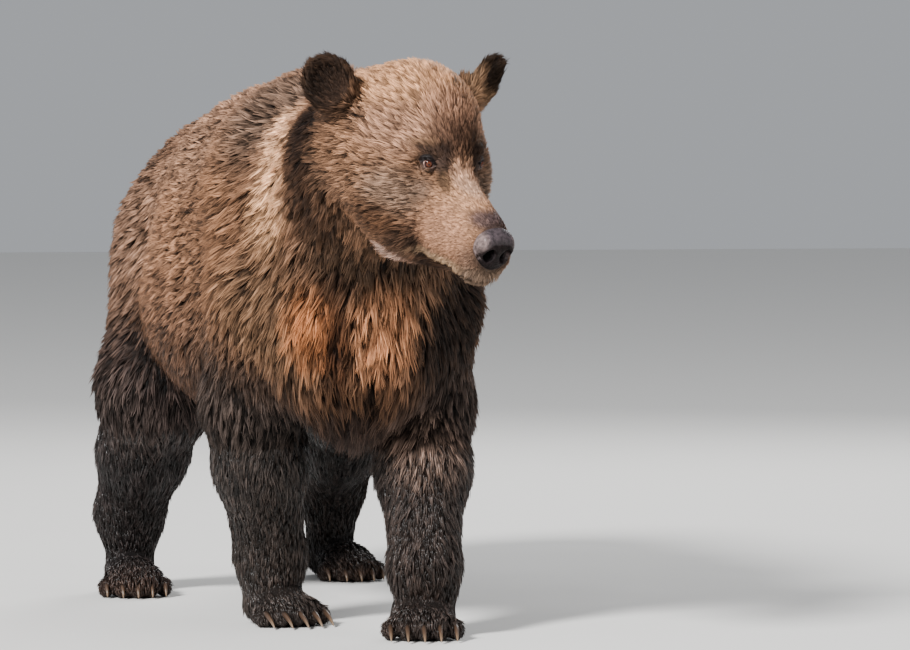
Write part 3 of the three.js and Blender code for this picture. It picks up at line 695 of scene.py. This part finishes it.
matt_hide = add(tree, "BsdfPrincipled", Base_Color=shade, Roughness=dull, Normal=nap_bump,
                Specular_IOR_Level=0.14)
add(tree, "OutputMaterial", Surface=matt_hide)

under_fur = np.clip(1.05 - depth / 17, 0.2, 0.95)  # the wool between the locks lies in shade
skin = solid("hide", points, faces, marking=opaque(colour * under_fur[:, None]), lie=lie, bare=bare)
skin.data.materials.append(hide_finish)
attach(skin, "root")
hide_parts("chest", "barrel", "rump", "tail", "neck", "head", "muzzle", "lower_jaw", "ear_left",
            "ear_right", *LEGS, *(n.replace("leg", "paw") for n in LEGS))


# ---- Nose ----
# A broad wedge of thick, moist bare skin over gristle, pebbled like fine leather: flat in front, with
# comma-shaped nostrils whose tails run up its sides, and a groove below. Its rim dips under the hide.

bed = flesh.pop()
flesh_below_nose = len(flesh)
for s in (-1, 1):
    ball(in_head(s * 24, -210, -95), (17, 27, 25), 12, 0, HEAD_TURN)  # wing
    ball(in_head(s * 19, -233, -115), (13.5, 24, 19), 4, 0, HEAD_TURN, hollow=True)  # nostril
    limb(in_head(s * 19, -224, -113), in_head(s * 14, -202, -101), 12, 7, 4, 0, hollow=True)
    comma = ((25, -226, -130), (35, -216, -120), (41, -204, -102), (43, -194, -86))
    fold([in_head(s * x, y, z) for x, y, z in comma], 3.4, 3, hollow=True)
fold([in_head(0, -247, -96), in_head(0, -234, -122), in_head(0, -222, -148)], 2.6, 5, hollow=True)


def nose_skin(p):
    """The muzzle's end a little swollen, as far back as the pad reaches."""
    q = head_place(p) - [0, -222, -103]
    q[:, 0] *= 1 + 0.5 * np.clip(-q[:, 2] / 47, 0, 1)  # narrower below the nostrils
    reach = np.linalg.norm(q / [56, 36, 47], axis=1)
    return -melted(-(hide(p) - 0.9), -(reach - 1) * 36, 3)


NOSE_STEP, NOSE_SQUARES = 1.8, 67
low = in_head(0, -220, -102) - 60
side = np.arange(NOSE_SQUARES) * NOSE_STEP
grid = np.stack(np.meshgrid(*[low[i] + side for i in range(3)], indexing="ij"), -1)
nose_points, nose_faces = netted(nose_skin(grid.reshape(-1, 3)).reshape([NOSE_SQUARES] * 3), low, NOSE_STEP)
nose_points, nose_out = drawn_on(nose_points, nose_skin)
nose_points, nose_out = drawn_on(eased(nose_points, nose_faces, nose_out), nose_skin, 1)
del flesh[flesh_below_nose:]
h, facing = head_place(nose_points), nose_out @ HEAD_TURN
# Blue-grey on top and browner at the sides. Painted light and shade: the skin facing up or sideways is
# painted lit, the front, the underside and the bottom edge are painted black as shade, and so are the
# nostrils' insides.
lit_skin = np.clip((facing[:, 2] + 0.7 * np.abs(facing[:, 0]) - 0.15) / 0.65, 0, 1)
lit_skin = lit_skin * np.clip((h[:, 2] + 134) / 26, 0, 1)
side_skin = np.clip((np.abs(h[:, 0]) - 24) / 12, 0, 1)[:, None]
nose_colour = (1 - side_skin) * linear("#40373a")[:3] + side_skin * linear("#6b5a57")[:3]
nose_colour = linear("#1a1414")[:3] + lit_skin[:, None] * (nose_colour - linear("#1a1414")[:3])
# Painted shade: the nostrils' insides are painted nearly black, the more so the deeper they lie.
deep = np.clip((-hide(nose_points) - 1.5) / 7, 0, 1)[:, None]  # inside the nostrils
nose_colour = nose_colour * (1 - 0.92 * deep)
flesh.append(bed)
nose = solid("nose_pad", nose_points, nose_faces, marking=opaque(nose_colour))

# Moist pebbled skin: cells of 1.9 mm, glossy on top of each pebble.
nose_finish, tree = new_finish("moist_pebbled_nose_skin")
mark = add(tree, "Attribute", attribute_name="marking")
place = add(tree, "TexCoord").outputs["Object"]
pebbles = add(tree, "TexVoronoi", Vector=place, Scale=520.0)
blotch = add(tree, "TexNoise", Vector=place, Scale=130.0, Detail=4.0)  # 8 mm
light = add(tree, "MapRange", blotch, 0.32, 0.68, 0.45, 1.5)
shade = add(tree, "VectorMath", mark, operation="SCALE", Scale=light)
bump = add(tree, "Bump", invert=True, Strength=0.9, Distance=0.0012, Height=pebbles)
moist = add(tree, "MapRange", pebbles, 0.0, 0.9, 0.25, 0.5)
leather = add(tree, "BsdfPrincipled", Base_Color=shade, Roughness=moist, Normal=bump,
              Specular_IOR_Level=0.18, Coat_Weight=0.06, Coat_Roughness=0.2)
add(tree, "OutputMaterial", Surface=leather)
nose.data.materials.append(nose_finish)
# The front between the nostrils and their insides, painted black as shade, are dull and unlit.
deep_finish = nose_finish.copy()
deep_finish.name = "black_skin_in_the_nostrils"
deep_leather = next(node for node in deep_finish.node_tree.nodes if node.type == "BSDF_PRINCIPLED")
deep_leather.inputs["Specular IOR Level"].default_value = 0.04
deep_leather.inputs["Coat Weight"].default_value = 0.0
nose.data.materials.append(deep_finish)
in_shade = (lit_skin * (1 - deep[:, 0]))[nose_faces].mean(1) < 0.2
nose.data.polygons.foreach_set("material_index", in_shade.astype(np.int32))
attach(nose, "root")
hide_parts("nose")


# ---- Eyes ----
# Small, forward-looking eyeballs set deep between the lids. A clear cornea stands a little proud of an
# amber-brown iris with a round pupil, and little white shows at the corners.

# A wet eyeball: tears leave one small sharp glint over the iris, whose fibres run out from the pupil.
eye_finish, tree = new_finish("wet_eyeball")
ring = add(tree, "Attribute", attribute_name="from_pupil").outputs["Fac"]
spoke = add(tree, "Attribute", attribute_name="round_iris").outputs["Vector"]
fibres = add(tree, "TexNoise", Vector=spoke, Scale=9.0, Detail=3.0)
ringed = add(tree, "Math", fibres, 0.9, ring, operation="MULTIPLY_ADD")
banded = add(tree, "MapRange", ringed, 0.45, EYE_RADIUS, 0.0, 1.0)
bands = add(tree, "ValToRGB", Fac=banded)
bands.color_ramp.elements[0].color = linear("#060302")
bands.color_ramp.elements[1].color = linear("#a08379")
for at, tint in (  # pupil, amber-brown iris, its dark rim, and the white
    (0.1, "#0a0403"), (0.16, "#4c2516"), (0.3, "#58301f"), (0.42, "#33140b"),
    (0.53, "#170605"), (0.64, "#1d0b08"), (0.71, "#6d5049"), (0.8, "#a08379"),
):
    bands.color_ramp.elements.new(at).color = linear(tint)
wet_ball = add(tree, "BsdfPrincipled", Base_Color=bands, Roughness=0.3, Specular_IOR_Level=0.0,
               Coat_Weight=0.4, Coat_Roughness=0.03)
add(tree, "OutputMaterial", Surface=wet_ball)

# The ball is a net of rings from the pupil to the back, and each point carries its place in the iris.
rings, spokes = 28, 40
polar = np.repeat(np.pi * np.arange(1, rings) / rings, spokes)
spin = np.tile(2 * np.pi * np.arange(spokes) / spokes, rings - 1)
ways = np.stack([np.sin(polar) * np.cos(spin), np.cos(polar), np.sin(polar) * np.sin(spin)], 1)
ways = np.concatenate([[[0, 1, 0]], ways, [[0, -1, 0]]])
from_pupil = EYE_RADIUS * np.where(ways[:, 1] > 0, np.hypot(ways[:, 0], ways[:, 2]), 1)
cornea = 1.1 * np.clip(1 - (from_pupil / 8.5) ** 2, 0, 1)
round_iris = np.stack([np.cos(spin), np.sin(spin), 0.1 * polar], 1)
round_iris = np.concatenate([[[0, 0, 0]], round_iris, [[0, 0, 0]]])
last = len(ways) - 1
eye_faces = []
for j in range(spokes):
    k = (j + 1) % spokes
    eye_faces += [(0, 1 + k, 1 + j), (last, last - spokes + j, last - spokes + k)]
    for i in range(1, 1 + (rings - 2) * spokes, spokes):
        eye_faces += [(i + j, i + k, i + j + spokes), (i + k, i + k + spokes, i + j + spokes)]
for name, s in (("left", 1), ("right", -1)):
    gaze = lids_of(s, (0.47, -0.88, 0.02), 0)
    eye_points = in_head(*(EYE_AT * [s, 1, 1])) + ways * (EYE_RADIUS + cornea)[:, None] @ gaze.T
    eyeball = solid("eyeball_" + name, eye_points, np.array(eye_faces), from_pupil=from_pupil,
                    round_iris=round_iris)
    eyeball.data.materials.append(eye_finish)
    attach(eyeball, "root")
    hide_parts("eye_" + name)


# ---- Claws ----
# Long, slightly curved claws of dark horn, five to a paw, worn blunt and paler towards the tip. Each grows
# out of its toe and comes down to just above the floor.

# Worn horn: smooth with a soft gloss, dark brown at the root, paler and streaked lengthwise to the tip.
claw_finish, tree = new_finish("worn_horn")
tipward = add(tree, "Attribute", attribute_name="along").outputs["Fac"]
grain_at = add(tree, "Attribute", attribute_name="grain").outputs["Vector"]
grain = add(tree, "TexNoise", Vector=grain_at, Scale=1.0, Detail=4.0)
mixed = add(tree, "Math", grain, 0.5, tipward, operation="MULTIPLY_ADD")
horn = add(tree, "ValToRGB", Fac=add(tree, "MapRange", mixed, 0.1, 1.4, 0.0, 1.0))
horn.color_ramp.elements[0].color = linear("#1f1713")
horn.color_ramp.elements[1].color = linear("#8c735a")
horn.color_ramp.elements.new(0.55).color = linear("#4a382b")
bump = add(tree, "Bump", Strength=0.3, Distance=0.0006, Height=grain)
keratin = add(tree, "BsdfPrincipled", Base_Color=horn, Roughness=0.38, Normal=bump)
add(tree, "OutputMaterial", Surface=keratin)
rings, sides = 12, 10
for name, (*_, heel, toes) in LEGS.items():
    size, way = PAWS[name[:4]], turned(toes)
    half, long, reach = size["width"] / 2, size["length"], size["claw"]
    claw_points, claw_faces, claw_along, claw_grain = [], [], [], []
    # A claw grows out ahead of its toe's middle and a little above it, and bends down to the floor.
    for i in range(-2, 3):
        x, y = toe_at(i, half, long)
        y, z, drop, base = y - 16, TOE_HIGH + 8, 24 / reach, len(claw_points)
        for r in range(rings + 1):
            t = r / rings
            slope = math.asin(min(0.95, drop * (0.6 + 1.2 * t)))
            wide = size["thick"] / 2 * (1 - 0.8 * t * t) if r < rings else 0.5
            for k in range(sides):
                a = 2 * math.pi * k / sides
                rise = math.cos(a) * wide * (1.25 if math.cos(a) > 0 else 1.05)
                across = math.sin(a) * wide * (1 if math.cos(a) > 0 else 0.8)
                corner = (x + across, y - rise * math.sin(slope), z + rise * math.cos(slope))
                claw_points.append(np.array(heel) + way @ corner)
                claw_along.append(t)
                claw_grain.append((math.cos(a) * 3 + 7 * i, math.sin(a) * 3, t * 1.5))
            y -= math.cos(slope) * reach / rings
            z -= math.sin(slope) * reach / rings
        for r in range(rings):
            for k in range(sides):
                a, b = base + r * sides + k, base + r * sides + (k + 1) % sides
                claw_faces += [(a, a + sides, b), (b, a + sides, b + sides)]
        for k in range(1, sides - 1):
            claw_faces += [(base, base + k, base + k + 1)]
            end = base + rings * sides
            claw_faces += [(end, end + k + 1, end + k)]
    claws = solid("claws_" + name.replace("leg", "paw"), np.array(claw_points), np.array(claw_faces),
                  along=np.array(claw_along), grain=np.array(claw_grain))
    claws.data.materials.append(claw_finish)
    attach(claws, "root")
    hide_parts(*(f"{name[:4]}claw_{name.split('_')[1]}_{i}" for i in range(1, 6)))


# ---- Coat ----
# Coarse guard hair over wool, wet in places, so that it hangs in pointed locks. Each lock is a closed
# sliver rooted in the hide, and neighbours lean together into tufts. It stands for a small bunch of hairs,
# as single ones are too fine to show. Geometry Nodes strew and comb the locks.

# Three slivers of unit length, straight, bent left and bent right: x is across, y along and z away from the
# hide. Each is a kite seen from above, with a keel below.
PATCH = 0.0015  # a lock's share of the hide's unwrap
locks = bpy.data.collections.new("locks")
for number, bend in enumerate((0.0, 0.45, -0.45)):
    shape = np.array([[0, 0, -0.5], [-0.5 + bend, 0.42, 0.9], [0.5 + bend, 0.42, 0.9], [0, 1, 0]])
    mesh = bpy.data.meshes.new(f"lock_{number}")
    mesh.from_pydata(shape.tolist(), [], [(0, 2, 1), (1, 2, 3), (0, 1, 3), (0, 3, 2)])
    mesh.update()
    spot = np.column_stack([shape[:, 0], shape[:, 1] - 0.5, np.zeros(4)]) * PATCH
    carry(mesh, along=shape[:, 1].clip(0, 1), spot=spot)
    locks.objects.link(bpy.data.objects.new(f"lock_{number}", mesh))

comb = bpy.data.node_groups.new("comb_the_coat", "GeometryNodeTree")
comb.interface.new_socket("Geometry", in_out="OUTPUT", socket_type="NodeSocketGeometry")
comb_inputs = {}
for label, kind, value in (
    ("Hide", "Geometry", None), ("Locks per square metre", "Float", 30000.0),
    ("Tuft spacing", "Float", 0.014), ("Tufting", "Float", 0.85), ("Lock thickness", "Float", 0.004),
    ("Stray", "Float", 0.1), ("Seed", "Int", 1), ("Lock shapes", "Collection", None),
    ("Finish", "Material", None),
):
    comb_inputs[label] = comb.interface.new_socket(label, in_out="INPUT", socket_type="NodeSocket" + kind)
    if value is not None:
        comb_inputs[label].default_value = value
given = add(comb, "NodeGroupInput").outputs
place = add(comb, "GeometryNodeInputPosition")
out, way, unwrap, spot = (add(comb, "GeometryNodeInputNamedAttribute", data_type="FLOAT_VECTOR", Name=name)
                          for name in ("out", "lie", "unwrap", "spot"))
reach, rise, width, fullness = (add(comb, "GeometryNodeInputNamedAttribute", data_type="FLOAT", Name=name)
                                for name in ("reach", "rise", "width", "fullness"))

# Roots are strewn at random. Each lock belongs to the nearest tuft, whose middle its tip leans towards.
thick_here = add(comb, "Math", fullness, given["Locks per square metre"], operation="MULTIPLY")
roots = add(comb, "GeometryNodeDistributePointsOnFaces", distribute_method="RANDOM", Mesh=given["Hide"],
            Density=thick_here, Seed=given["Seed"])
cell_scale = add(comb, "Math", 1.0, given["Tuft spacing"], operation="DIVIDE")
cells = add(comb, "TexVoronoi", Vector=place, Scale=cell_scale)
cell_random = add(comb, "SeparateXYZ", cells.outputs["Color"]).outputs
own = add(comb, "FunctionNodeRandomValue", data_type="FLOAT", i2=0.0, i3=1.0, Seed=5).outputs[1]
towards = add(comb, "VectorMath", cells.outputs["Position"], place, operation="SUBTRACT")
lift = add(comb, "VectorMath", towards, out, operation="DOT_PRODUCT").outputs["Value"]
lifted = add(comb, "VectorMath", out, operation="SCALE", Scale=lift)
towards = add(comb, "VectorMath", towards, lifted, operation="SUBTRACT")
towards = add(comb, "VectorMath", towards, operation="SCALE", Scale=given["Tufting"])

# A lock's aim adds up its length along the lie, its height off the hide, its tuft's sway, its lean towards
# the tuft's middle and some stray.
own_share = add(comb, "Math", own, 0.4, 0.55, operation="MULTIPLY_ADD")
long_share = add(comb, "Math", cell_random[0], 0.45, own_share, operation="MULTIPLY_ADD")
length = add(comb, "Math", reach, long_share, operation="MULTIPLY")
high_share = add(comb, "Math", cell_random[2], 1.3, 0.3, operation="MULTIPLY_ADD")
height = add(comb, "Math", rise, high_share, operation="MULTIPLY")
across = add(comb, "VectorMath", out, way, operation="CROSS_PRODUCT")
sway_share = add(comb, "Math", cell_random[1], 0.7, -0.35, operation="MULTIPLY_ADD")
sway = add(comb, "Math", sway_share, reach, operation="MULTIPLY")
wild = add(comb, "FunctionNodeRandomValue", (-1, -1, -1), (1, 1, 1), data_type="FLOAT_VECTOR", Seed=9)
stray = add(comb, "Math", given["Stray"], reach, operation="MULTIPLY")
aim = towards
for direction, amount in ((way, length), (out, height), (across, sway), (wild, stray)):
    share = add(comb, "VectorMath", direction, operation="SCALE", Scale=amount)
    aim = add(comb, "VectorMath", aim, share, operation="ADD")
lay = add(comb, "FunctionNodeAxesToRotation", aim, out, primary_axis="Y", secondary_axis="Z")
own_width = add(comb, "Math", own, 0.7, 0.65, operation="MULTIPLY_ADD")
wide = add(comb, "Math", given["Lock thickness"], own_width, operation="MULTIPLY")
wide = add(comb, "Math", width, wide, operation="MULTIPLY")
thin = add(comb, "Math", wide, 0.8, operation="MULTIPLY")
long = add(comb, "VectorMath", aim, operation="LENGTH").outputs["Value"]
size = add(comb, "CombineXYZ", wide, long, thin)

# Tufts differ in tone more than the locks within one, and a tuft's tone follows its height: higher tufts
# are painted lighter and lower ones darker, as painted light and shade. The slivers then become one plain
# mesh.
tuft_fleck_and_height_shade = add(comb, "Math", cell_random[2], 0.6, operation="MULTIPLY")
fleck = add(comb, "Math", own, 0.4, tuft_fleck_and_height_shade, operation="MULTIPLY_ADD")
roots = add(comb, "GeometryNodeStoreNamedAttribute", data_type="FLOAT", domain="POINT", Geometry=roots,
            Name="fleck", Value=fleck)
pick = add(comb, "FunctionNodeRandomValue", data_type="INT", i4=0, i5=2, Seed=3).outputs[2]
shapes = add(comb, "GeometryNodeCollectionInfo", given["Lock shapes"], True, True)
strewn = add(comb, "GeometryNodeInstanceOnPoints", Points=roots, Instance=shapes, Pick_Instance=True,
             Instance_Index=pick, Rotation=lay, Scale=size)
made = add(comb, "GeometryNodeRealizeInstances", Geometry=strewn)
bake_place = add(comb, "VectorMath", unwrap, spot, operation="ADD")
made = add(comb, "GeometryNodeStoreNamedAttribute", data_type="FLOAT2", domain="CORNER", Geometry=made,
           Name="OFBake", Value=bake_place)
made = add(comb, "GeometryNodeSetMaterial", Geometry=made, Material=given["Finish"])
add(comb, "NodeGroupOutput", Geometry=made)

# Guard hair: dark at the root, partly the hair's own dark base and partly painted shade deep between the
# locks; the marking's colour along the shaft and tan at some tips. Dry hair is dull, and the wet hair of
# the legs throws small glints. Both finishes differ only in gloss and roughness.
furs = {}
for name, gloss, dull in (("guard_hair", 0.08, 0.6), ("wet_guard_hair", 0.25, 0.32)):
    furs[name], tree = new_finish(name)
    mark = add(tree, "Attribute", attribute_name="marking")
    tipward, fleck, damp, shag = (add(tree, "Attribute", attribute_name=key).outputs["Fac"]
                                  for key in ("along", "fleck", "wet", "shag"))
    place = add(tree, "TexCoord").outputs["Object"]
    drift = add(tree, "TexNoise", Vector=place, Scale=22.0, Detail=2.0)  # patches of 45 mm
    # Darker towards the root: partly the hair's own dark base, partly painted shade deep between the locks.
    root_light = add(tree, "MapRange", tipward, 0.2, 0.95, 0.14, 1.45)
    # The tuft's share of the fleck also paints higher tufts lighter and lower ones darker, as painted light
    # and shade.
    squared = add(tree, "Math", fleck, 2.4, operation="POWER")
    tuft_light = add(tree, "Math", squared, 3.1, 0.09, operation="MULTIPLY_ADD")
    drift_light = add(tree, "MapRange", drift, 0.35, 0.65, 0.8, 1.2)
    light = add(tree, "Math", root_light, tuft_light, operation="MULTIPLY")
    light = add(tree, "Math", light, drift_light, operation="MULTIPLY")
    light = add(tree, "Mix", shag, i2=0.92, i3=light)
    shaft = add(tree, "VectorMath", mark, operation="SCALE", Scale=light)
    tip = add(tree, "Math", tipward, fleck, operation="MULTIPLY")
    tip = add(tree, "MapRange", tip, 0.5, 1.0, 0.0, 0.5)
    dry = add(tree, "Math", 1.0, damp, operation="SUBTRACT")
    tip = add(tree, "Math", tip, dry, operation="MULTIPLY")
    pale = add(tree, "VectorMath", mark, (1.9, 1.6, 1.25), (0.022, 0.014, 0.007), operation="MULTIPLY_ADD")
    shaft = add(tree, "Mix", tip, data_type="RGBA", i6=shaft, i7=pale).outputs[2]
    hair = add(tree, "BsdfPrincipled", Base_Color=shaft, Roughness=dull, Specular_IOR_Level=gloss)
    add(tree, "OutputMaterial", Surface=hair)

# Each point of the hide says how high its locks rise off it, how far they reach along the lie, how wide and
# how many they are, and how much light and dark ones differ. Wet hair lies lower and longer.
rise = depth * 0.62
rise = rise * (1 - 0.45 * wet)
reach = (2.5 * depth + 1.5) * (1 + 0.3 * wet)
width = np.clip(0.4 + depth / 26, 0.4, 1.15)
fullness = np.clip(1 - 1.4 * bare, 0, 1)
shag = np.clip((depth - 2) / 9, 0.45, 1)  # how much light and dark hairs differ
fullness[(points[:, 2] < 12) & (normals[:, 2] < -0.3)] = 0  # none under the paws
# Longer hair: under the chin, on the throat, the fringe over the lip, the wet fold, the ears, and the hem
# that hangs below the breast.
under_chin = within(head, [0, -60, -205], [90, 150, 30], 1.4)
throat = within(points, [0, -380, 800], [180, 130, 120], 1.4)
fringe = np.clip(1.4 - np.abs(head[:, 2] + 160) / 12, 0, 1) * (head[:, 1] < -36) * (head[:, 1] > -234)
lip_fold = within(head, [-76, 22, -194], [50, 50, 16], 1.5)
in_ear = np.zeros(len(points))
for at, *_ in EARS.values():
    in_ear = np.maximum(in_ear, within(head, at, 62, 1.5))
hem = within(points, [0, -220, 462], [170, 130, 60], 1.4)
reach = reach * (1 + 0.9 * under_chin) * (1 + 0.35 * throat)
reach = reach + 8 * in_ear + 6 * fringe + 16 * lip_fold + 30 * hem
rise = rise * (1 + 0.4 * under_chin) + 2.5 * fringe + 24 * hem * np.clip(-normals[:, 2], 0, 1)
width = width * (1 - 0.3 * fringe)

# The coat is cut into ten pieces where these planes cross it.
ELBOW_HIGH, SHOULDER, LOIN, BELLY = 418, 60, 735, 420
centre = points[faces].mean(1)
at_head = head_place(centre)
behind = centre[:, 1]
is_head = (centre - in_head(0, 238, 0)) @ (0.32, -0.95, 0) > 0
is_head = is_head & (at_head[:, 1] < 330) & (centre[:, 2] > 700)
is_face = is_head & (at_head[:, 1] < 34)
is_neck = ~is_head & ((centre - [0, -230, 1000]) @ (0, -0.8, 0.6) > 0)
is_leg = ~is_head & ~is_neck & (centre[:, 2] < ELBOW_HIGH)
left = centre[:, 0] > 0
trunk = ~is_head & ~is_neck & ~is_leg
REGIONS = {  # faces, locks wanted, tuft spacing in metres, how far tufts gather, lock thickness, seed
    "face": (is_face, 49000, 0.0050, 0.45, 0.0019, 11),
    "crown": (is_head & ~is_face, 49000, 0.0068, 0.55, 0.0020, 12),
    "neck": (is_neck, 30000, 0.014, 0.85, 0.0031, 13),
    "chest": (trunk & (behind < SHOULDER), 49000, 0.0125, 0.9, 0.0028, 14),
    "flank_left": (trunk & (behind >= SHOULDER) & (behind < LOIN) & left, 33000, 0.014, 0.9, 0.0033, 15),
    "flank_right": (trunk & (behind >= SHOULDER) & (behind < LOIN) & ~left, 48000, 0.0125, 0.9, 0.0029, 16),
    "rump_left": (trunk & (behind >= LOIN) & left, 25500, 0.015, 0.85, 0.0038, 17),
    "rump_right": (trunk & (behind >= LOIN) & ~left, 28000, 0.015, 0.85, 0.0037, 18),
    "forelegs": (is_leg & (behind < BELLY), 32000, 0.009, 0.6, 0.0027, 19),
    "hindlegs": (is_leg & (behind >= BELLY), 31000, 0.009, 0.6, 0.0029, 20),
}
OFF_FLOOR = 0.0006
for name, (chosen, wanted, spacing, gather, thickness, seed) in REGIONS.items():
    part = faces[chosen]
    used = np.unique(part)
    part = np.searchsorted(used, part)
    corner = points[used][part]
    area = np.linalg.norm(np.cross(corner[:, 1] - corner[:, 0], corner[:, 2] - corner[:, 0]), axis=1) / 2e6
    full = (area * fullness[used][part].mean(1)).sum()
    scalp = solid("scalp_" + name, points[used], part, marking=opaque(colour[used]), out=normals[used],
                  lie=lie[used], reach=reach[used] / 1000, rise=rise[used] / 1000, width=width[used],
                  wet=wet[used], shag=shag[used], fullness=fullness[used])
    bpy.context.view_layer.objects.active = scalp
    for item in bpy.context.selected_objects:
        item.select_set(False)
    scalp.select_set(True)
    scalp.data.uv_layers.new(name="unwrap")
    bpy.ops.object.mode_set(mode="EDIT")
    bpy.ops.mesh.select_all(action="SELECT")
    bpy.ops.uv.smart_project(angle_limit=math.radians(66), island_margin=0.01)
    bpy.ops.object.mode_set(mode="OBJECT")
    finish = furs["wet_guard_hair" if name.endswith("legs") else "guard_hair"]
    comber = scalp.modifiers.new("comb", "NODES")
    comber.node_group = comb
    for label, value in (
        ("Locks per square metre", wanted / full), ("Tuft spacing", spacing), ("Tufting", gather),
        ("Lock thickness", thickness), ("Seed", seed), ("Lock shapes", locks), ("Finish", finish),
    ):
        comber[comb_inputs[label].identifier] = value
    combed_out = scalp.evaluated_get(bpy.context.evaluated_depsgraph_get())
    mesh = bpy.data.meshes.new_from_object(combed_out)
    mesh.name = "coat_" + name
    coat = bpy.data.objects.new("coat_" + name, mesh)
    scene.collection.objects.link(coat)
    bpy.data.objects.remove(scalp)
    # Tips stay above the floor, and light reads the tuft's lie over the hide more than a sliver's facets.
    n = len(mesh.vertices)
    corner_at, own_way, hide_way = (np.zeros(n * 3, np.float32) for _ in range(3))
    mesh.vertices.foreach_get("co", corner_at)
    corner_at[2::3] = np.maximum(corner_at[2::3], OFF_FLOOR)
    mesh.vertices.foreach_set("co", corner_at)
    mesh.update()
    mesh.vertex_normals.foreach_get("vector", own_way)
    mesh.attributes["out"].data.foreach_get("vector", hide_way)
    own_part = 0.75 if name.endswith("legs") else 0.6
    blend_way = own_part * own_way.reshape(-1, 3) + (1 - own_part) * hide_way.reshape(-1, 3)
    blend_way /= np.linalg.norm(blend_way, axis=1, keepdims=True) + 1e-9
    mesh.polygons.foreach_set("use_smooth", np.ones(len(mesh.polygons), bool))
    mesh.normals_split_custom_set_from_vertices(blend_way.tolist())
    for key in ("out", "lie", "reach", "rise", "width", "fullness", "spot", "unwrap"):
        if key in mesh.attributes:
            mesh.attributes.remove(mesh.attributes[key])
    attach(coat, "root")


# ---- Floor, light and camera ----
# A plain pale studio floor of matt paint. A big soft light hangs high on the left, a weaker one stands on
# the right and one behind, and the camera stands at the height of a bear's back.

# Matt paint, whose gloss varies a little from place to place.
floor_finish, tree = new_finish("matt_studio_floor")
grit = add(tree, "TexNoise", Vector=add(tree, "TexCoord").outputs["Object"], Scale=3.0, Detail=4.0)
dull = add(tree, "MapRange", grit, 0.3, 0.7, 0.75, 0.85)
ground = add(tree, "BsdfPrincipled", Base_Color=linear("#e6e4e0"), Roughness=dull)
add(tree, "OutputMaterial", Surface=ground)
sheet = bpy.data.meshes.new("floor")
sheet.from_pydata([(-30, -14, 0), (30, -14, 0), (30, 40, 0), (-30, 40, 0)], [], [(0, 1, 2, 3)])
floor = bpy.data.objects.new("floor", sheet)
floor.data.materials.append(floor_finish)
scene.collection.objects.link(floor)

world = bpy.data.worlds.new("studio")
world.use_nodes = True
world.node_tree.nodes["Background"].inputs["Color"].default_value = linear("#e6eaf0")
world.node_tree.nodes["Background"].inputs["Strength"].default_value = 0.5
scene.world = world


def aimed(place, target):
    """Stands at a place and looks at a target, upright."""
    back = np.array(place, float) - np.array(target, float)
    back /= np.linalg.norm(back)
    right = np.cross([0, 0, 1], back)
    right /= np.linalg.norm(right)
    up = np.cross(back, right)
    return Matrix([[right[i], up[i], back[i], place[i]] for i in range(3)] + [[0, 0, 0, 1]])


for name, place, target, size, power in (
    ("key", (-10.0, -9.6, 9.6), (0, -0.2, 0.6), 3.2, 6200),
    ("fill", (5.0, -4.0, 2.5), (0, 0, 0.6), 3.5, 70),
    ("back", (3.0, 5.5, 4.5), (0, 0.3, 0.7), 3.0, 240),
):
    lamp = bpy.data.lights.new(name, "AREA")
    lamp.shape, lamp.size, lamp.energy = "DISK", size, power
    lamp_object = bpy.data.objects.new(name, lamp)
    lamp_object.matrix_world = aimed(place, target)
    scene.collection.objects.link(lamp_object)

FOCAL, FRAME_WIDE = 5000, 910  # in points across the frame
AWAY, HIGH = 10.9, 1.05
lens = bpy.data.cameras.new("camera")
lens.sensor_width, lens.lens = 36.0, 36.0 * FOCAL / FRAME_WIDE
lens.clip_start, lens.clip_end = 0.1, 100
camera = bpy.data.objects.new("camera", lens)
azimuth = math.radians(12)
yaw, pitch = azimuth + math.atan(112 / FOCAL), math.atan(175 / FOCAL)
stand = np.array([-math.sin(azimuth) * AWAY, -math.cos(azimuth) * AWAY, HIGH]) + shift / 1000
ahead = np.array([math.sin(yaw) * math.cos(pitch), math.cos(yaw) * math.cos(pitch), -math.sin(pitch)])
camera.matrix_world = aimed(stand, stand + ahead)
scene.collection.objects.link(camera)
scene.camera = camera
